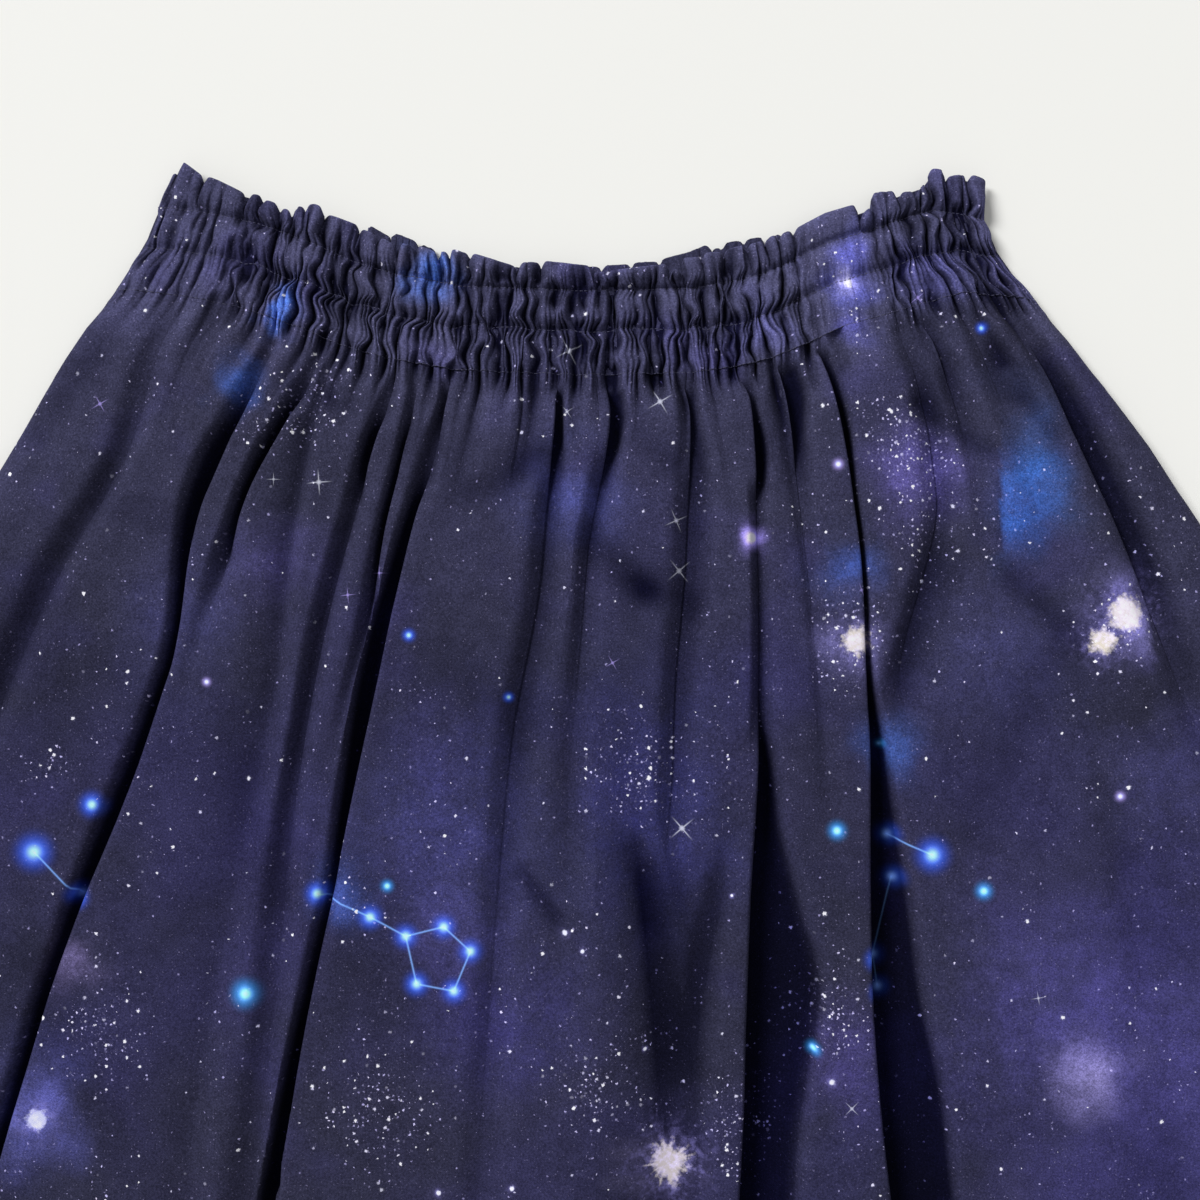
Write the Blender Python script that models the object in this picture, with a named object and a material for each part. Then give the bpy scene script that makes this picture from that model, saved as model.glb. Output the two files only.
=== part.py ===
"""Gathered skirt with a frilled, elasticated waist, laid flat with its waist towards +Y.

The skirt lies on the plane z = 0. A point of its cloth is named by two numbers: 'across', from
-1 at the left side seam to 1 at the right one, and 'down', the metres below the first row of
elastic stitching, measured along the fall of the cloth and negative in the frill above it.
fan_place() turns the two into a place on the surface, because the cloth fans out below the waist.
Each piece is a closed wall: outer rows of points that carry the gathers and folds, and inner rows
under them. All sizes are in metres.
"""
import bmesh
import bpy
import numpy as np

# ---- driving sizes ----
WAIST_HALF = 0.1536          # half of the relaxed waist, laid flat
SKIRT_LENGTH = 0.6315        # first stitching to hem, along the fall
CHANNEL_ONE = 0.0150         # first stitching to second
CASING = 0.0315              # first stitching to third, where the casing ends
SEAM_GAP = 0.0003            # air between neighbouring pieces
MILLIMETRE = 0.001
GATHERS = 62                 # gathers of the front casing
GATHER_SPREAD = 0.35         # a gather is this share wider or narrower than the usual one
SHOULDERS = (0.3, 0.7)       # the crest of a gather runs between these shares of its width
VALLEY_DEPTHS = (0.75, 1.25)  # least and greatest depth of a valley, as a share of its row's
SHOULDER_DEPTHS = ((-0.10, 0.10), (-0.15, 0.10))  # the same for the crest's left and right end
PANEL_WALL = 0.0015          # back panel, and the front panel in its grooves
BACK_BAND_WALL = 0.0026      # gathered back casing, pressed flat
FOLD_WALL = 0.0030           # front panel along its ridges, where the cloth is gathered

# ---- the fan: the lean of the side seams from straight down, in degrees ----
LEAN_DOWN = (-0.015, 0.031, 0.041, 0.121, 0.191, 0.321, 0.631)
LEAN_DEGREES = (13, 14, 36, 35, 26, 15, 6)

# First stitching: how far it rises towards +Y above its own level 'across'.
WAIST_ACROSS = (-1.0, -0.88, -0.77, -0.63, -0.55, -0.45, -0.29, 0.0, 0.27, 0.39, 0.45, 0.53, 0.60,
                0.70, 0.79, 0.86, 0.93, 1.0)
WAIST_RISE = (0.0222, 0.0196, 0.0160, 0.0078, 0.0022, -0.0026, -0.0070, -0.0088, -0.0080,
              -0.0048, -0.0022, 0.0033, 0.0086, 0.0132, 0.0180, 0.0210, 0.0200, 0.0175)

# How far each side stands out from the plain fan, by 'down'. It fades inwards with SIDE_POWER.
SIDE_DOWN = (-0.015, 0.0, 0.012, 0.020, 0.028, 0.036, 0.048, 0.062, 0.076, 0.096, 0.116, 0.631)
LEFT_OUT = (0.001, 0.003, 0.005, 0.0076, 0.0107, 0.0137, 0.0153, 0.0148, 0.0135, 0.0112, 0.0095,
            0.005)
RIGHT_OUT = (0.001, -0.003, -0.001, 0.0025, 0.0074, 0.0110, 0.0124, 0.0129, 0.0142, 0.0152,
             0.0142, 0.009)
SIDE_POWER = 5

# Rows of the front casing: down, height of the gathers' crests, depth of the gathers.
CASING_ROWS = (
    (0.0000, 0.0056, 0.0013),
    (0.0040, 0.0077, 0.0019),
    (0.0080, 0.0085, 0.0022),
    (0.0120, 0.0076, 0.0019),
    (0.0150, 0.0057, 0.0013),
    (0.0195, 0.0080, 0.0020),
    (0.0235, 0.0088, 0.0023),
    (0.0278, 0.0078, 0.0020),
    (0.0315, 0.0058, 0.0014),
)
# Rows of the frill: share of its rise, height of the crests, depth of the gathers.
FRILL_ROWS = (
    (1.00, 0.0062, 0.0012),
    (0.50, 0.0072, 0.0017),
)
# Petals of the frill: x of its left end, rise above the first stitching there and at its right.
FRONT_PETALS = (
    (-0.1560, 0.0080, 0.0150), (-0.1513, 0.0180, 0.0125), (-0.1406, 0.0133, 0.0090),
    (-0.1243, 0.0100, 0.0100), (-0.1188, 0.0085, 0.0090), (-0.1125, 0.0080, 0.0082),
    (-0.1075, 0.0110, 0.0115), (-0.1028, 0.0135, 0.0138), (-0.0969, 0.0120, 0.0135),
    (-0.0833, 0.0125, 0.0115), (-0.0755, 0.0115, 0.0095), (-0.0685, 0.0113, 0.0113),
    (-0.0622, 0.0120, 0.0100), (-0.0533, 0.0107, 0.0110), (-0.0485, 0.0128, 0.0118),
    (-0.0411, 0.0120, 0.0072), (-0.0233, 0.0090, 0.0095), (-0.0145, 0.0098, 0.0088),
    (0.0037, 0.0060, 0.0062), (0.0096, 0.0064, 0.0088), (0.0337, 0.0064, 0.0066),
    (0.0381, 0.0110, 0.0105), (0.0459, 0.0115, 0.0112), (0.0537, 0.0118, 0.0122),
    (0.0629, 0.0116, 0.0118), (0.0696, 0.0118, 0.0114), (0.0747, 0.0110, 0.0106),
    (0.0803, 0.0107, 0.0111), (0.1046, 0.0060, 0.0085), (0.1099, 0.0133, 0.0105),
    (0.1195, 0.0095, 0.0080), (0.1258, 0.0080, 0.0105), (0.1316, 0.0150, 0.0150),
    (0.1380, 0.0130, 0.0148), (0.1465, 0.0150, 0.0150),
)
BACK_PETALS = (
    (-0.1560, 0.0060, 0.0100), (-0.1450, 0.0100, 0.0105), (-0.1300, 0.0095, 0.0075),
    (-0.1150, 0.0070, 0.0070), (-0.1000, 0.0100, 0.0110), (-0.0812, 0.0155, 0.0130),
    (-0.0712, 0.0155, 0.0135), (-0.0615, 0.0135, 0.0115), (-0.0540, 0.0098, 0.0098),
    (-0.0470, 0.0125, 0.0120), (-0.0415, 0.0090, 0.0075), (-0.0278, 0.0084, 0.0080),
    (-0.0200, 0.0060, 0.0065), (0.0007, 0.0092, 0.0090), (0.0082, 0.0094, 0.0098),
    (0.0195, 0.0103, 0.0106), (0.0303, 0.0113, 0.0158), (0.0496, 0.0135, 0.0138),
    (0.0544, 0.0152, 0.0150), (0.0622, 0.0146, 0.0140), (0.0696, 0.0125, 0.0120),
    (0.0770, 0.0090, 0.0080), (0.0950, 0.0075, 0.0080), (0.1150, 0.0085, 0.0095),
    (0.1300, 0.0080, 0.0110),
)
NOTCH = 0.0018               # dip of the frill's edge between two petals
PETAL_STAGGER = 0.0006       # one petal lies this much over the next
CASING_EDGE = 0.0012         # wall of the casing at its side seams

# Places where the ends of the elastic meet and the casing stays nearly flat:
# middle across, half width across, share of the gathers left. Half a width further out, at
# CALM_EDGE, the gathers have their whole depth again.
CALM_EDGE = 0.5
FLAT_PLACES = (
    (-0.90, 0.10, 0.40),
    (0.62, 0.10, 0.20),
)

# Height of the front panel's ridges above the surface, by 'down'.
PUFF_DOWN = (0.0315, 0.038, 0.047, 0.150, 0.300, 0.450, 0.6315)
PUFF_HEIGHT = (0.0060, 0.0078, 0.0087, 0.0087, 0.0084, 0.0079, 0.0072)

# Rows of the front panel: those that still carry the gathers, as down and depth of the gathers,
# then those of the folds, of the inner face under the folds, and of the back panel.
GATHERED_ROWS = ((CASING + SEAM_GAP, 0.0014), (0.036, 0.0019), (0.042, 0.0016), (0.049, 0.0008))
FOLDED_ROWS = (0.058, 0.072, 0.088, 0.105, 0.125, 0.150, 0.180, 0.220, 0.270, 0.330, 0.400, 0.480,
               0.560, SKIRT_LENGTH)
INNER_ROWS = (0.058, 0.088, 0.125, 0.180, 0.270, 0.400, SKIRT_LENGTH)
BACK_ROWS = (0.041, 0.058, 0.080, 0.105, 0.150, 0.220, 0.330, 0.480, SKIRT_LENGTH)

# Grooves between the front panel's folds. For each: its middle 'across', its depth as a share of
# the ridges' height and its half width in millimetres, at the five distances FOLD_DOWN, and its
# steep wall (1 right, -1 left).
GROOVE_START = 0.012         # a groove reaches its depth this far below the casing
STEEPNESS = 0.45             # the steep wall is this share narrower, the other one wider
LEAST_STEP = 0.0009          # columns of the panel are at least this far apart
ROLL_COLUMN = 0.35           # a column stands at this share of the rounded side
FOLD_DOWN = (0.040, 0.100, 0.170, 0.300, 0.6315)
FOLDS = (
    # name, across,
    # depth share, half width, steep wall
    ("side_left", (-0.870, -0.830, -0.840, -0.840, -0.850),
     (0.3, 0.48, 0.5, 0.45, 0.4), (4, 5, 6, 8, 12), 1),
    ("deep_left", (-0.680, -0.681, -0.630, -0.682, -0.748),
     (0.5, 0.95, 1.0, 1.0, 0.7), (3, 4.5, 5, 5, 9), 1),
    ("merging_left", (-0.588, -0.612, -0.600, -0.590, -0.560),
     (0.45, 0.95, 0.1, 0.0, 0.0), (3, 4, 4, 6, 8), 1),
    ("soft_left", (-0.560, -0.525, -0.480, -0.480, -0.490),
     (0.35, 0.5, 0.42, 0.3, 0.2), (3, 5, 7, 8, 10), 1),
    ("pipe_left", (-0.423, -0.429, -0.421, -0.400, -0.410),
     (0.5, 0.6, 0.5, 0.4, 0.4), (3, 4, 5, 6, 9), 1),
    ("pipe_right", (-0.366, -0.360, -0.364, -0.370, -0.370),
     (0.5, 0.8, 0.1, 0.0, 0.0), (2, 3, 4, 6, 8), 1),
    ("deep_centre", (-0.300, -0.320, -0.330, -0.363, -0.450),
     (0.7, 0.92, 1.0, 1.0, 0.7), (3, 4.5, 5.5, 5.5, 9), 1),
    ("centre", (-0.051, -0.058, -0.095, -0.115, -0.140),
     (0.9, 0.55, 0.45, 0.3, 0.2), (4, 6, 7, 8, 12), -1),
    ("centre_right", (0.075, 0.020, -0.005, -0.020, -0.030),
     (0.9, 0.42, 0.25, 0.05, 0.0), (5, 5, 6, 8, 9), -1),
    ("low_middle", (0.120, 0.090, 0.074, 0.104, 0.066),
     (0.0, 0.0, 0.3, 0.65, 0.3), (3, 3, 6, 10, 10), -1),
    ("soft_right", (0.245, 0.205, 0.149, 0.105, 0.100),
     (0.8, 0.6, 0.45, 0.0, 0.0), (4, 7, 8, 8, 12), -1),
    ("low_cross", (0.300, 0.280, 0.240, 0.140, 0.125),
     (0.0, 0.0, 0.2, 0.5, 0.1), (3, 3, 5, 6, 8), 1),
    ("deep_right", (0.377, 0.328, 0.275, 0.218, 0.142),
     (0.85, 0.9, 0.9, 1.0, 0.8), (3, 4, 5, 13, 12), -1),
    ("short_right", (0.457, 0.414, 0.366, 0.310, 0.290),
     (0.9, 0.5, 0.2, 0.0, 0.1), (5, 4, 4, 5, 7), -1),
    ("long_right", (0.546, 0.506, 0.440, 0.393, 0.428),
     (0.9, 1.0, 0.95, 1.0, 0.8), (4, 4, 5, 12, 11), -1),
    ("shadow_right", (0.712, 0.659, 0.500, 0.520, 0.540),
     (0.4, 0.5, 0.4, 0.0, 0.0), (5, 6, 7, 8, 8), -1),
    ("hollow_right", (0.765, 0.720, 0.640, 0.620, 0.620),
     (0.7, 0.45, 0.0, 0.0, 0.0), (4, 6, 7, 8, 8), -1),
    ("band_right", (0.840, 0.800, 0.750, 0.720, 0.720),
     (0.4, 0.25, 0.1, 0.2, 0.2), (4, 6, 8, 9, 9), -1),
    ("side_right", (0.930, 0.894, 0.867, 0.850, 0.860),
     (0.5, 0.78, 0.65, 0.15, 0.3), (3, 5.5, 7, 8, 9), -1),
)

CLOTH_COLOUR = (0.030, 0.027, 0.062, 1.0)
CLOTH_ROUGHNESS = 0.85
SHARP_DEGREES = 60           # a sharper edge than this isn't shaded smooth

GATHER_SEED = 11
FAN_STEPS = 48               # steps of the sum along the fall
SIDE_ROLL = 0.012            # the panel's side rounds down over this width
CASING_ROLL = 0.006          # and the casing's over this


def fan_place(across, down):
    """Places on the surface, as x and y, of points given by arrays 'across' and 'down'."""
    across = np.asarray(across, dtype=float)
    down = np.broadcast_to(np.asarray(down, dtype=float), across.shape)
    middles = (np.arange(FAN_STEPS) + 0.5) / FAN_STEPS
    along = down[..., None] * middles
    angle = np.radians(np.interp(along, LEAN_DOWN, LEAN_DEGREES)) * across[..., None]
    x = WAIST_HALF * across + down * np.sin(angle).mean(axis=-1)
    y = np.interp(across, WAIST_ACROSS, WAIST_RISE) - down * np.cos(angle).mean(axis=-1)
    left = np.interp(down, SIDE_DOWN, LEFT_OUT) * np.clip(-across, 0, 1) ** SIDE_POWER
    right = np.interp(down, SIDE_DOWN, RIGHT_OUT) * np.clip(across, 0, 1) ** SIDE_POWER
    return x - left + right, y


def side_round(across, down, roll):
    """1 on the body of the cloth, falling to 0 at its side seams along a quarter circle."""
    half = fan_place(np.array([1.0]), np.array([down]))[0][0]
    inset = np.clip((1.0 - np.abs(across)) * half / roll, 0.0, 1.0)
    return np.sqrt(1.0 - (1.0 - inset) ** 2)


def gather_columns():
    """Valleys and crest shoulders of the gathers: across, share of the depth, gather number."""
    rng = np.random.default_rng(GATHER_SEED)
    steps = rng.uniform(1.0 - GATHER_SPREAD, 1.0 + GATHER_SPREAD, GATHERS)
    valleys = -1.0 + 2.0 * np.concatenate([[0.0], np.cumsum(steps)]) / steps.sum()
    across, valley = [], []
    for left, right in zip(valleys[:-1], valleys[1:]):
        across += [left] + [left + share * (right - left) for share in SHOULDERS]
        valley += [rng.uniform(*limits) for limits in (VALLEY_DEPTHS, *SHOULDER_DEPTHS)]
    across.append(1.0)
    valley.append(1.0)
    return np.array(across), np.array(valley)


def calm(across):
    """Share of the gathers' depth left at each point: less where the elastic's ends meet."""
    share = np.ones_like(across)
    for middle, half, left in FLAT_PLACES:
        near = np.clip(1.0 + CALM_EDGE - np.abs(across - middle) / half, 0.0, 1.0)
        share *= 1.0 - (1.0 - left) * near
    return share


def petal_rise(x, petals):
    """Rise of the frill's edge and the number of the petal at each x."""
    starts = np.array([petal[0] for petal in petals])
    ends = np.append(starts[1:], WAIST_HALF)
    number = np.clip(np.searchsorted(starts, x, side="right") - 1, 0, len(petals) - 1)
    share = np.clip((x - starts[number]) / (ends[number] - starts[number]), 0.0, 1.0)
    first = np.array([petal[1] for petal in petals])[number]
    last = np.array([petal[2] for petal in petals])[number]
    return first + (last - first) * share, number


def frill_rise(across, petals):
    """Rise of the frill at each column, with a notch at the column nearest each petal's end."""
    x = across * WAIST_HALF
    rise, number = petal_rise(x, petals)
    for start, _, _ in petals[1:]:
        nearest = int(np.argmin(np.abs(x - start)))
        rise[nearest] = rise[max(nearest - 1, 0):nearest + 2].min() - NOTCH
    return rise, number


def groove_at(fold, down):
    """Middle across, share of the depth and half width of a groove at one distance down."""
    _, across, depth, half_width, _ = fold
    return (np.interp(down, FOLD_DOWN, across), np.interp(down, FOLD_DOWN, depth),
            np.interp(down, FOLD_DOWN, half_width) * MILLIMETRE)


def half_width_at(down):
    """Half of the skirt's width at one distance down."""
    return float(fan_place(np.array([1.0]), np.array([down]))[0][0])


def fold_columns(down):
    """Columns of the panel: the side seams, and for each groove its middle, walls and brinks."""
    half = half_width_at(down)
    rounded = SIDE_ROLL * ROLL_COLUMN / half
    lines = [-1.0, -1.0 + rounded]
    previous = lines[-1]
    for fold in FOLDS:
        middle, _, width = groove_at(fold, down)
        steep = fold[4]
        left = width * (1.0 + STEEPNESS * steep) / half
        right = width * (1.0 - STEEPNESS * steep) / half
        lines += [0.5 * (previous + middle - left), middle - left, middle - 0.5 * left, middle,
                  middle + 0.5 * right, middle + right]
        previous = lines[-1]
    lines += [0.5 * (previous + 1.0), 1.0 - rounded, 1.0]
    return spread_out(np.array(lines), LEAST_STEP / half)


def spread_out(lines, least):
    """The same lines in rising order and at least 'least' apart, inside -1 to 1."""
    lines = np.sort(lines)
    count = len(lines)
    for index in range(1, count):
        lines[index] = max(lines[index], lines[index - 1] + least)
    limit = 1.0 - least * np.arange(count - 1, -1, -1)
    return np.minimum(lines, limit)


def groove_share(across, down):
    """Depth of the panel's grooves at each point of one row, as a share of the ridges' height."""
    half = half_width_at(down)
    dip = np.zeros_like(across)
    for fold in FOLDS:
        middle, depth, width = groove_at(fold, down)
        steep = fold[4]
        offset = (across - middle) * half
        reach = width * (1.0 + STEEPNESS * steep * np.where(offset < 0, 1.0, -1.0))
        share = np.cos(0.5 * np.pi * np.clip(offset / reach, -1.0, 1.0)) ** 2
        dip = np.maximum(dip, depth * share)
    return dip * np.clip((down - CASING) / GROOVE_START, 0.0, 1.0)


def panel_outer(across, down, gather_depth):
    """Heights of the front panel's outer face along one row."""
    lowest = 2.0 * PANEL_WALL + SEAM_GAP
    ridge = np.interp(down, PUFF_DOWN, PUFF_HEIGHT) - lowest
    lift = ridge * (1.0 - groove_share(across, down)) - gather_depth
    return lowest + np.maximum(lift, 0.0) * side_round(across, down, SIDE_ROLL)


def panel_inner(outer):
    """Heights of the front panel's inner face: on the back panel in the grooves, and off it
    under the ridges."""
    return np.maximum(outer - FOLD_WALL, PANEL_WALL + SEAM_GAP)


def row_points(across, down, height):
    """Points of one row, as an array of x, y and z."""
    x, y = fan_place(across, down)
    return np.column_stack([x, y, np.broadcast_to(height, x.shape)])


def bridge(faces, first, second, first_share, second_share):
    """Adds the triangles between two rows of vertex numbers that may differ in length."""
    if len(first) == len(second):
        first_share = second_share = np.arange(len(first))
    i, j = 0, 0
    while i < len(first) - 1 or j < len(second) - 1:
        step_first = first_share[i + 1] if i < len(first) - 1 else np.inf
        step_second = second_share[j + 1] if j < len(second) - 1 else np.inf
        if step_first <= step_second:
            faces.append((first[i], second[j], first[i + 1]))
            i += 1
        else:
            faces.append((first[i], second[j], second[j + 1]))
            j += 1


def closed_wall(name, outer_rows, inner_rows):
    """One closed object from rows of points, top to bottom, of its outer and inner faces."""
    vertices, faces = [], []

    def add_rows(rows):
        numbers = []
        for points in rows:
            start = len(vertices)
            vertices.extend(points)
            numbers.append(list(range(start, start + len(points))))
        return numbers

    def shares(numbers):
        if len(numbers) == 1:
            return np.array([0.0])
        points = np.array([vertices[number] for number in numbers])
        along = np.concatenate([[0.0], np.cumsum(np.linalg.norm(np.diff(points[:, :2], axis=0),
                                                                 axis=1))])
        return along / along[-1]

    outer = add_rows(outer_rows)
    inner = add_rows(inner_rows)
    for upper, lower in zip(outer[:-1], outer[1:]):
        bridge(faces, upper, lower, shares(upper), shares(lower))
    for upper, lower in zip(inner[:-1], inner[1:]):
        bridge(faces, lower, upper, shares(lower), shares(upper))
    rims = (
        (inner[0], outer[0]),
        (outer[-1], inner[-1]),
        ([row[0] for row in outer], [row[0] for row in inner]),
        ([row[-1] for row in inner], [row[-1] for row in outer]),
    )
    for one, other in rims:
        bridge(faces, one, other, shares(one), shares(other))
    return finish_object(name, vertices, faces)


def finish_object(name, vertices, faces):
    """An object with its mesh cleaned, facing out and shaded smooth, in the cloth's material."""
    mesh = bpy.data.meshes.new(name)
    mesh.from_pydata([tuple(point) for point in vertices], [], faces)
    shell = bmesh.new()
    shell.from_mesh(mesh)
    bmesh.ops.recalc_face_normals(shell, faces=shell.faces)
    shell.to_mesh(mesh)
    shell.free()
    mesh.shade_smooth()
    mesh.set_sharp_from_angle(angle=np.radians(SHARP_DEGREES))
    thing = bpy.data.objects.new(name, mesh)
    bpy.context.scene.collection.objects.link(thing)
    thing.data.materials.append(cloth_material(name))
    return thing


def cloth_material(name):
    """Dark navy cotton."""
    material = bpy.data.materials.new(name + "_cotton")
    material.use_nodes = True
    shader = material.node_tree.nodes["Principled BSDF"]
    shader.inputs["Base Color"].default_value = CLOTH_COLOUR
    shader.inputs["Roughness"].default_value = CLOTH_ROUGHNESS
    shader.inputs["Metallic"].default_value = 0.0
    return material


def make_front_waistband():
    """Front casing: the frill, two gathered channels and three pinched rows of stitching."""
    across, valley = gather_columns()
    share = valley * calm(across)
    plain = np.linspace(-1.0, 1.0, GATHERS + 1)
    floor = BACK_BAND_WALL + SEAM_GAP
    rise, petal = frill_rise(across, FRONT_PETALS)
    stagger = PETAL_STAGGER * np.where(petal % 2 == 0, 1.0, -1.0)
    outer = []
    for part, crest, depth in FRILL_ROWS:
        height = crest + stagger - depth * share
        outer.append(row_points(across, -rise * part, casing_height(height, across, floor)))
    for down, crest, depth in CASING_ROWS:
        height = crest - depth * share
        outer.append(row_points(across, down, casing_height(height, across, floor)))
    inner = [
        row_points(across, -rise, floor),
        row_points(plain, 0.0, floor),
        row_points(plain, CHANNEL_ONE, floor),
        row_points(across, CASING, floor),
    ]
    return closed_wall("front_waistband", outer, inner)


def casing_height(height, across, floor):
    """The casing's outer height, rounded down to its thin edge at the side seams."""
    edge = floor + CASING_EDGE
    return edge + np.maximum(height - edge, 0.0) * side_round(across, 0.0, CASING_ROLL)


def make_front_panel():
    """Front of the skirt: gathers that run out into long overlapping folds, down to the hem."""
    across, valley = gather_columns()
    share = valley * calm(across)
    outer = []
    for down, depth in GATHERED_ROWS:
        outer.append(row_points(across, down, panel_outer(across, down, depth * share)))
    for down in FOLDED_ROWS:
        lines = fold_columns(down)
        outer.append(row_points(lines, down, panel_outer(lines, down, 0.0)))
    inner = [row_points(across, GATHERED_ROWS[0][0], PANEL_WALL + SEAM_GAP)]
    for down in INNER_ROWS:
        lines = fold_columns(down)
        inner.append(row_points(lines, down, panel_inner(panel_outer(lines, down, 0.0))))
    return closed_wall("front_panel", outer, inner)


def make_back_waistband():
    """Back casing: pressed flat under the front one, its frill showing above it."""
    columns = np.linspace(-1.0, 1.0, 2 * GATHERS + 1)
    plain = np.linspace(-1.0, 1.0, GATHERS // 2 + 1)
    rise, petal = frill_rise(columns, BACK_PETALS)
    lift = PETAL_STAGGER * (petal % 2)
    edge = BACK_BAND_WALL - PETAL_STAGGER + lift * np.cos(0.5 * np.pi * columns) ** 0.5
    seam, _ = gather_columns()
    outer = [
        row_points(columns, -rise, edge),
        row_points(plain, 0.0, BACK_BAND_WALL),
        row_points(plain, CHANNEL_ONE, BACK_BAND_WALL),
        row_points(seam, CASING, BACK_BAND_WALL),
    ]
    inner = [
        row_points(columns, -rise, 0.0),
        row_points(plain, 0.0, 0.0),
        row_points(plain, CHANNEL_ONE, 0.0),
        row_points(seam, CASING, 0.0),
    ]
    return closed_wall("back_waistband", outer, inner)


def make_back_panel():
    """Back of the skirt, flat on the surface, with the same outline as the front."""
    plain = np.linspace(-1.0, 1.0, GATHERS // 2 + 1)
    seam, _ = gather_columns()
    top = CASING + SEAM_GAP
    outer = [row_points(seam, top, PANEL_WALL)]
    outer += [row_points(plain, down, PANEL_WALL) for down in BACK_ROWS]
    inner = [row_points(seam, top, 0.0)]
    inner += [row_points(plain, down, 0.0) for down in BACK_ROWS]
    return closed_wall("back_panel", outer, inner)


def centre_on_footprint(pieces):
    """Moves the pieces' points so that the middle of their box on the surface is the origin."""
    corners = np.array([vertex.co for piece in pieces for vertex in piece.data.vertices])
    middle = 0.5 * (corners.min(axis=0) + corners.max(axis=0))
    for piece in pieces:
        for vertex in piece.data.vertices:
            vertex.co.x -= middle[0]
            vertex.co.y -= middle[1]


def main():
    for thing in list(bpy.data.objects):
        bpy.data.objects.remove(thing, do_unlink=True)
    pieces = [make_front_waistband(), make_front_panel(), make_back_waistband(),
              make_back_panel()]
    centre_on_footprint(pieces)


main()
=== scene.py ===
"""Looks of the gathered skirt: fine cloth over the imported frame, print, stitching, floor, light.

A point of the cloth is named as in the frame's source: 'across', from -1 at the left side seam to
1 at the right one, and 'down', the metres below the first elastic stitching along the cloth's
fall, negative in the frill. Places on the cloth are metres from the middle of the waist, and
millimetres from it in the tables of petals, creases and print.
"""
import math

import bpy
import numpy as np
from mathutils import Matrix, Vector


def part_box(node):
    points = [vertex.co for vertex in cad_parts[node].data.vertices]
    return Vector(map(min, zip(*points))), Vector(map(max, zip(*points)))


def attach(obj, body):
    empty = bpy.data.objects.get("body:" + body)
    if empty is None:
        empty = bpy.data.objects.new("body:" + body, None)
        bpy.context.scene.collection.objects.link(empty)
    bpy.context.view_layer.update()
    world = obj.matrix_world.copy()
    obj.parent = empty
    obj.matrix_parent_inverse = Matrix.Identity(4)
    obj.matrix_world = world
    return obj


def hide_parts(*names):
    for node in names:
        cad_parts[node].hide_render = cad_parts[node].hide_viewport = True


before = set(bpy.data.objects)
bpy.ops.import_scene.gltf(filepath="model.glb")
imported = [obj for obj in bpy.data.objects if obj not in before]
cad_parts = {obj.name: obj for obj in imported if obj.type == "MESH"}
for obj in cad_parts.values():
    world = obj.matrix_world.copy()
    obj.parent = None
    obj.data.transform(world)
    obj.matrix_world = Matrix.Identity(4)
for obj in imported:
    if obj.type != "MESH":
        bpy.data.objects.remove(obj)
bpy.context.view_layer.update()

# ---- sizes shared with the solids ----
WAIST_HALF = 0.1536
SKIRT_LENGTH = 0.6315
STITCH_ROWS = (0.0, 0.0150, 0.0315)
CASING = STITCH_ROWS[-1]
GATHERS = 62
MILLIMETRE = 0.001
LEAN_DOWN = (-0.015, 0.031, 0.041, 0.121, 0.191, 0.321, 0.631)
LEAN_DEGREES = (13, 14, 36, 35, 26, 15, 6)
WAIST_ACROSS = (-1.0, -0.88, -0.77, -0.63, -0.55, -0.45, -0.29, 0.0, 0.27, 0.39, 0.45, 0.53, 0.60,
                0.70, 0.79, 0.86, 0.93, 1.0)
WAIST_RISE = (0.0222, 0.0196, 0.0160, 0.0078, 0.0022, -0.0026, -0.0070, -0.0088, -0.0080,
              -0.0048, -0.0022, 0.0033, 0.0086, 0.0132, 0.0180, 0.0210, 0.0200, 0.0175)
SIDE_DOWN = (-0.015, 0.0, 0.012, 0.020, 0.028, 0.036, 0.048, 0.062, 0.076, 0.096, 0.116, 0.631)
LEFT_OUT = (0.001, 0.003, 0.005, 0.0076, 0.0107, 0.0137, 0.0153, 0.0148, 0.0135, 0.0112, 0.0095,
            0.005)
RIGHT_OUT = (0.001, -0.003, -0.001, 0.0025, 0.0074, 0.0110, 0.0124, 0.0129, 0.0142, 0.0152,
             0.0142, 0.009)
SIDE_POWER = 5               # how close to the seam the sides' own line is kept
# Petals of the frill: x of its left end, rise of the edge there and at its right end.
FRONT_PETALS = (
    (-156, 8, 15), (-151.3, 18, 12.5), (-140.6, 13.3, 9), (-124.3, 10, 10), (-118.8, 8.5, 9),
    (-112.5, 8, 8.2), (-107.5, 11, 11.5), (-102.8, 13.5, 13.8), (-96.9, 12, 13.5),
    (-83.3, 12.5, 11.5), (-75.5, 11.5, 9.5), (-68.5, 11.3, 11.3), (-62.2, 12, 10),
    (-53.3, 10.7, 11), (-48.5, 12.8, 11.8), (-41.1, 12, 7.2), (-23.3, 9, 9.5), (-14.5, 9.8, 8.8),
    (3.7, 6, 6.2), (9.6, 6.4, 8.8), (33.7, 6.4, 6.6), (38.1, 11, 10.5), (45.9, 11.5, 11.2),
    (53.7, 11.8, 12.2), (62.9, 11.6, 11.8), (69.6, 11.8, 11.4), (74.7, 11, 10.6),
    (80.3, 10.7, 11.1), (104.6, 6, 8.5), (109.9, 13.3, 10.5), (119.5, 9.5, 8), (125.8, 8, 10.5),
    (131.6, 15, 15), (138, 13, 14.8), (146.5, 15, 15),
)
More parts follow.
